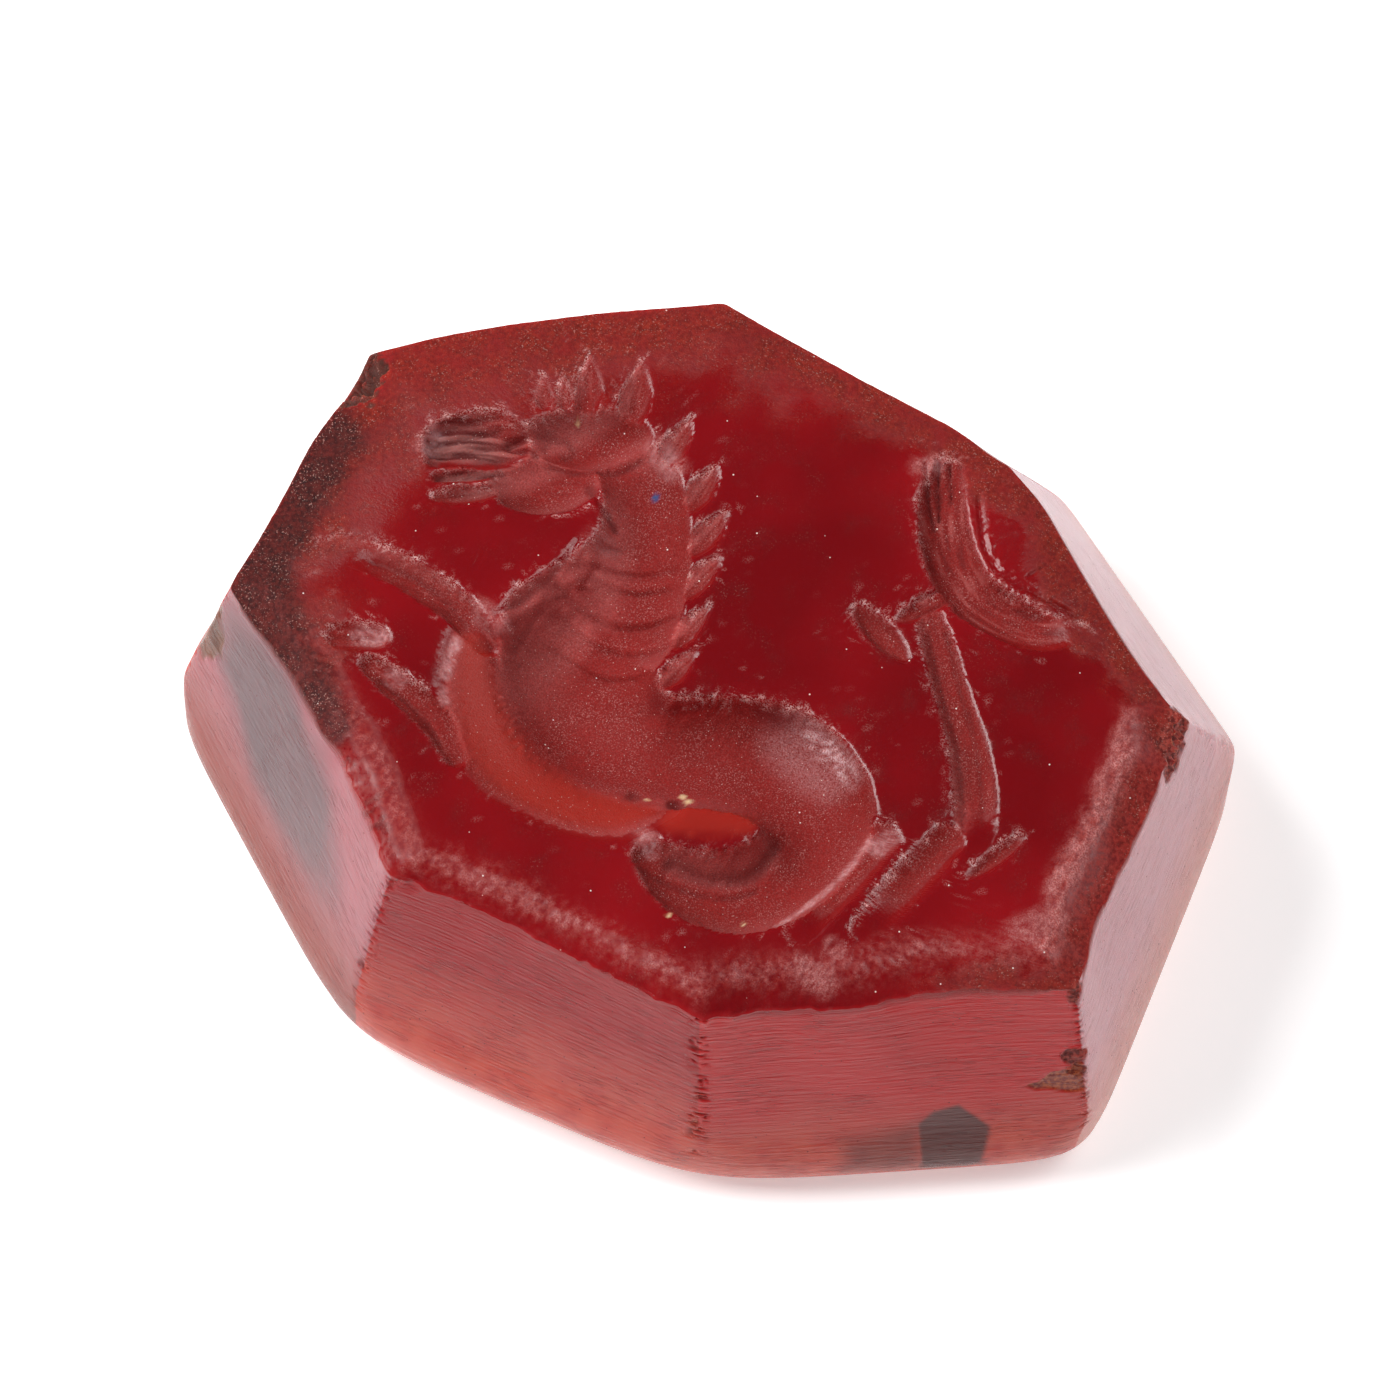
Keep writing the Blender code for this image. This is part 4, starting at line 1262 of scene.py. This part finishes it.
groove = times(groove, between(mask("pale"), 0.0, 0.8, 1.0, 0.35))
facet = mix(times(groove, 0.34), facet, (0.17, 0.012, 0.012))
colour = mix(mask("table"), facet, field)
print("nodes with the stone itself:", len(tree.nodes))

# %% Wear and dirt on the table
scuffs = times(mask("scuffed"), between(scuff, 0.38, 0.66))
brick_red = mix(between(scuff, 0.35, 0.65), (0.140, 0.005, 0.002), (0.245, 0.015, 0.006))
soil = mix(between(scuff, 0.38, 0.62), (0.028, 0.003, 0.003), (0.075, 0.009, 0.007))
colour = mix(times(mask("brick"), between(mottle, 0.30, 0.60, 0.3, 1.0)), colour, brick_red)
colour = mix(scuffs, colour, (0.27, 0.020, 0.015))
colour = mix(times(mask("dirt"), between(mottle, 0.30, 0.60, 0.75, 1.0)), colour, soil)
print("nodes with the wear:", len(tree.nodes))

# %% The dust in the cuts, with painted light on their lower right walls and a painted sheen on the coil
dust_and_painted_light = mix(between(powder, 0.30, 0.70), (0.165, 0.003, 0.002), (0.255, 0.011, 0.009))
# Painted light on the lower right walls of the wide cuts
dust_and_painted_light = mix(mask("lit"), dust_and_painted_light, (0.29, 0.034, 0.032))
dust_and_painted_light = mix(between(mottle, 0.35, 0.70, 0.0, 0.35), dust_and_painted_light, (0.13, 0.006, 0.005))
pale_grit = times(between(grit, 0.54, 0.66), between(mottle, 0.40, 0.62, 0.1, 0.5))
dust_and_painted_light = mix(pale_grit, dust_and_painted_light, (0.42, 0.13, 0.12))
dust_and_painted_light = mix(between(mask("marks"), 0.05, 0.45, 0.0, 0.55), dust_and_painted_light, (0.105, 0.002, 0.002))
dust_and_painted_light = mix(between(mask("marks"), -0.10, -0.45, 0.0, 0.55), dust_and_painted_light, (0.36, 0.075, 0.068))
bruise = mix(between(mask("marks"), -0.25, 0.25), (0.300, 0.110, 0.100), (0.060, 0.012, 0.011))
dust_and_painted_light = mix(times(mask("muzzle"), 0.8), dust_and_painted_light, bruise)
# Painted highlight: bright streaks on the coil's upper right wall
painted_sheen_colour = mix(between(powder, 0.35, 0.60), (0.40, 0.110, 0.105), (0.78, 0.52, 0.53))
dust_and_painted_light = mix(mask("sheen"), dust_and_painted_light, painted_sheen_colour)
colour = mix(mask("cut"), colour, dust_and_painted_light)
print("nodes with the dust:", len(tree.nodes))

# %% Painted shade, painted shadow, painted light, clear walls and a painted glow in the cuts
# Painted shade on the upper left walls, and a painted shadow under the coil's upper rim
colour = mix(times(mask("shade"), 0.85), colour, (0.320, 0.002, 0.002))
colour = mix(times(mask("shadow"), 0.8), colour, (0.150, 0.002, 0.002))
# Painted light on walls that lie in shade
painted_wall_light_grain = times(mask("pale_wall"), between(powder, 0.3, 0.7, 0.4, 0.9))
colour = mix(painted_wall_light_grain, colour, (0.50, 0.108, 0.100))
# Painted shade in the fine grooves
colour = mix(times(mask("line"), times(mask("cut"), 0.5)), colour, (0.11, 0.005, 0.005))
colour = mix(mask("deep"), colour, (0.22, 0.006, 0.006))
# Painted glow of light shining through the stone
colour = mix(mask("clear"), colour, (0.31, 0.020, 0.013))
print("nodes with the walls:", len(tree.nodes))

# %% Flaked rims with a painted highlight on their lit side, and frost
# Pale flecks on the rims: real flakes, with a painted highlight on their lit side
colour = mix(times(mask("rim"), between(grit, 0.45, 0.55)), colour, (0.72, 0.40, 0.38))
frosted = times(mask("frost"), between(scuff, 0.30, 0.70, 0.40, 1.0))
hoary = mix(between(grit, 0.40, 0.62), (0.34, 0.085, 0.078), (0.56, 0.220, 0.210))
colour = mix(frosted, colour, mix(mask("cut"), hoary, (0.56, 0.27, 0.27)))
print("nodes with the rims:", len(tree.nodes))

# %% Nicks and breaks
fresh = mix(between(crumb, 0.40, 0.60), (0.105, 0.010, 0.008), (0.30, 0.045, 0.032))
old = mix(between(mottle, 0.35, 0.65), (0.050, 0.012, 0.008), (0.115, 0.028, 0.020))
brown = mix(between(mottle, 0.35, 0.65), (0.110, 0.038, 0.021), (0.215, 0.078, 0.042))
orange = mix(between(crumb, 0.38, 0.62), (0.150, 0.014, 0.006), (0.370, 0.078, 0.022))
nicks = between(mask("nicked"), 0.15, 0.60)
colour = mix(times(nicks, 0.60), colour, (0.185, 0.016, 0.013))
colour = mix(mask("crumbled"), colour, fresh)
colour = mix(mask("broken"), colour, old)
colour = mix(mask("scar"), colour, brown)
colour = mix(times(mask("amber"), 0.9), colour, orange)
colour = mix(mask("dark_grain"), colour, (0.075, 0.026, 0.024))
print("nodes with the breaks:", len(tree.nodes))

# %% Specks
white_specks = times(specks(0.30, 0.010), mask("table"))
frost_specks = times(times(specks(0.045, 0.005), frosted), between(mottle, 0.45, 0.65, 0.1, 0.7))
# Painted glints in the dirt and the brick-red wear
sparkle = times(between(noise_at(0.024, 1.0), 0.62, 0.69), between(mottle, 0.44, 0.60, 0.1, 1.0))
sparkle = times(sparkle, most(times(mask("dirt"), 0.6), times(mask("brick"), 0.4)))
# Bright specks in the cuts: grains of dust, and painted glints
dust_and_glint_specks = times(specks(0.07, 0.006), times(mask("cut"), 0.8))
pits = times(specks(0.16, 0.010), most(off_table, mask("brick")))
colour = mix(sparkle, colour, (0.50, 0.26, 0.22))
colour = mix(most(white_specks, frost_specks), colour, (0.80, 0.66, 0.62))
colour = mix(dust_and_glint_specks, colour, (0.62, 0.36, 0.33))
colour = mix(pits, colour, (0.10, 0.010, 0.010))
colour = mix(mask("pale_speck"), colour, (0.62, 0.42, 0.24))
colour = mix(mask("blue_speck"), colour, (0.030, 0.060, 0.170))
print("nodes with the specks:", len(tree.nodes))

# %% [markdown]
# ## Polish and fine relief
# Polished faces stay glossy, and what the wheel or the wear touched is matt. The relief here is
# finer than the mesh: powder in the cuts, grinding lines on the bevels and pits in the wear.

# %% How rough each part is
worn = most(mask("frost"), mask("dirt"), mask("brick"))
worn = most(worn, mask("nicked"), mask("broken"), mask("crumbled"))
dusty = times(mask("cut"), work("SUBTRACT", 1.0, times(mask("clear"), 0.5)))
matt = times(worn, between(powder, 0.3, 0.7, 0.30, 0.55))
matt = work("ADD", between(off_table, 0.0, 1.0, 0.13, 0.24), matt)
matt = most(matt, times(most(mask("dirt"), mask("brick")), 0.85))
matt = most(matt, times(dusty, between(grit, 0.3, 0.7, 0.95, 0.70)))
matt = most(matt, times(mask("deep"), 0.45))
matt = most(matt, times(mask("edge"), 0.35))
matt = most(matt, times(mask("scuffed"), between(scuff, 0.3, 0.7, 0.42, 0.62)))
matt = most(matt, times(mask("matt_band"), 0.85))
print("nodes with the roughness:", len(tree.nodes))

# %% Relief too fine for the mesh
relief = times(powder, work("ADD", most(worn, mask("cut")), 0.03))
relief = work("ADD", relief, times(between(dash, 0.25, 0.75), times(off_table, 0.85)))
relief = work("SUBTRACT", relief, work("ADD", nicks, times(groove, times(off_table, 0.8))))
relief = work("ADD", relief, times(most(mask("crumbled"), mask("dirt")), crumb))
relief = work("ADD", relief, times(most(times(mask("scuffed"), 0.3), mask("brick")), scuff))
bump = add("ShaderNodeBump", Strength=0.9, Distance=0.012 * MM)
link(relief, bump.inputs["Height"])
print("nodes with the relief:", len(tree.nodes))

# %% The shader
shader = add("ShaderNodeBsdfPrincipled", IOR=1.54, Subsurface_Weight=0.3, Subsurface_Scale=0.001)
shader.inputs["Specular IOR Level"].default_value = 0.25
shader.inputs["Subsurface Radius"].default_value = (1.2, 0.12, 0.08)
surface = add("ShaderNodeOutputMaterial")
link(colour, shader.inputs["Base Color"])
link(matt, shader.inputs["Roughness"])
link(bump.outputs["Normal"], shader.inputs["Normal"])
link(shader.outputs["BSDF"], surface.inputs["Surface"])
stone_data.materials.append(carnelian)
print("material:", len(tree.nodes), "nodes")

# %% [markdown]
# ## Floor, light and camera
# The stone lies on a pale floor between two large soft lights, with nothing bright above it, so
# that the polished table stays deep red and the rims of the cuts show. The floor gives off a
# little light of its own, which keeps it nearly white without washing out the stone.

# %% The floor
floor_mesh = bmesh.new()
bmesh.ops.create_grid(floor_mesh, x_segments=8, y_segments=8, size=0.6)
floor_data = bpy.data.meshes.new("pale_floor")
floor_mesh.to_mesh(floor_data)
floor_mesh.free()
floor = bpy.data.objects.new("pale_floor", floor_data)
bpy.context.scene.collection.objects.link(floor)
paper = bpy.data.materials.new("pale_paper")
paper.use_nodes = True
sheet = paper.node_tree.nodes["Principled BSDF"]
sheet.inputs["Base Color"].default_value = (0.88, 0.88, 0.88, 1.0)
sheet.inputs["Roughness"].default_value = 0.9
sheet.inputs["Emission Color"].default_value = (1.0, 1.0, 1.0, 1.0)
sheet.inputs["Emission Strength"].default_value = 0.42
floor_data.materials.append(paper)
print("floor:", len(floor_data.polygons), "faces")

# %% The camera
# A long lens well away from the stone, aimed a little below the table's middle; sizes in
# metres, the aim's shifts in millimetres
FACING_CAMERA = math.radians(-64.1)
CAMERA_RISE = math.radians(68.0)
CAMERA_DISTANCE = 0.35
AIM_RIGHT = -0.1375
AIM_UP = -0.4375


def away_from(turn, rise):
    """The direction with this turn and rise, in radians."""
    return Vector((math.cos(turn) * math.cos(rise), math.sin(turn) * math.cos(rise), math.sin(rise)))


out = away_from(FACING_CAMERA, CAMERA_RISE)
right = Vector((-math.sin(FACING_CAMERA), math.cos(FACING_CAMERA), 0))
aim = Vector((-MIDDLE[0], -MIDDLE[1], SHOULDER)) + right * AIM_RIGHT + out.cross(right) * AIM_UP
camera_data = bpy.data.cameras.new("camera")
camera_data.lens = 720
camera_data.sensor_width = 36
camera_data.clip_start = 0.01
camera = bpy.data.objects.new("camera", camera_data)
camera.location = aim * MM + out * CAMERA_DISTANCE
camera.rotation_euler = out.to_track_quat("Z", "Y").to_euler()
bpy.context.scene.collection.objects.link(camera)
bpy.context.scene.camera = camera
print("camera at", [round(part, 4) for part in camera.location])


# %% The lights
def softbox(name, azimuth, rise, size, watts, distance=0.30):
    """A square soft light, placed round the stone by its angle from the camera's side."""
    away = away_from(FACING_CAMERA + math.radians(azimuth), math.radians(rise))
    lamp = bpy.data.lights.new(name, "AREA")
    lamp.size = size
    lamp.energy = watts
    light = bpy.data.objects.new(name, lamp)
    light.location = away * distance
    light.rotation_euler = away.to_track_quat("Z", "Y").to_euler()
    bpy.context.scene.collection.objects.link(light)
    print(name, "at", [round(part, 3) for part in light.location])


softbox("left_light", -105, 48, 0.18, 1.15)
softbox("right_light", 100, 60, 0.16, 0.40)
world = bpy.data.worlds.new("studio")
world.use_nodes = True
world.node_tree.nodes["Background"].inputs["Color"].default_value = (0.06, 0.06, 0.065, 1.0)
bpy.context.scene.world = world
bpy.context.scene.view_settings.view_transform = "Standard"

# %% Hand the stone to the frame
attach(stone, "root")
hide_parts("intaglio_stone")
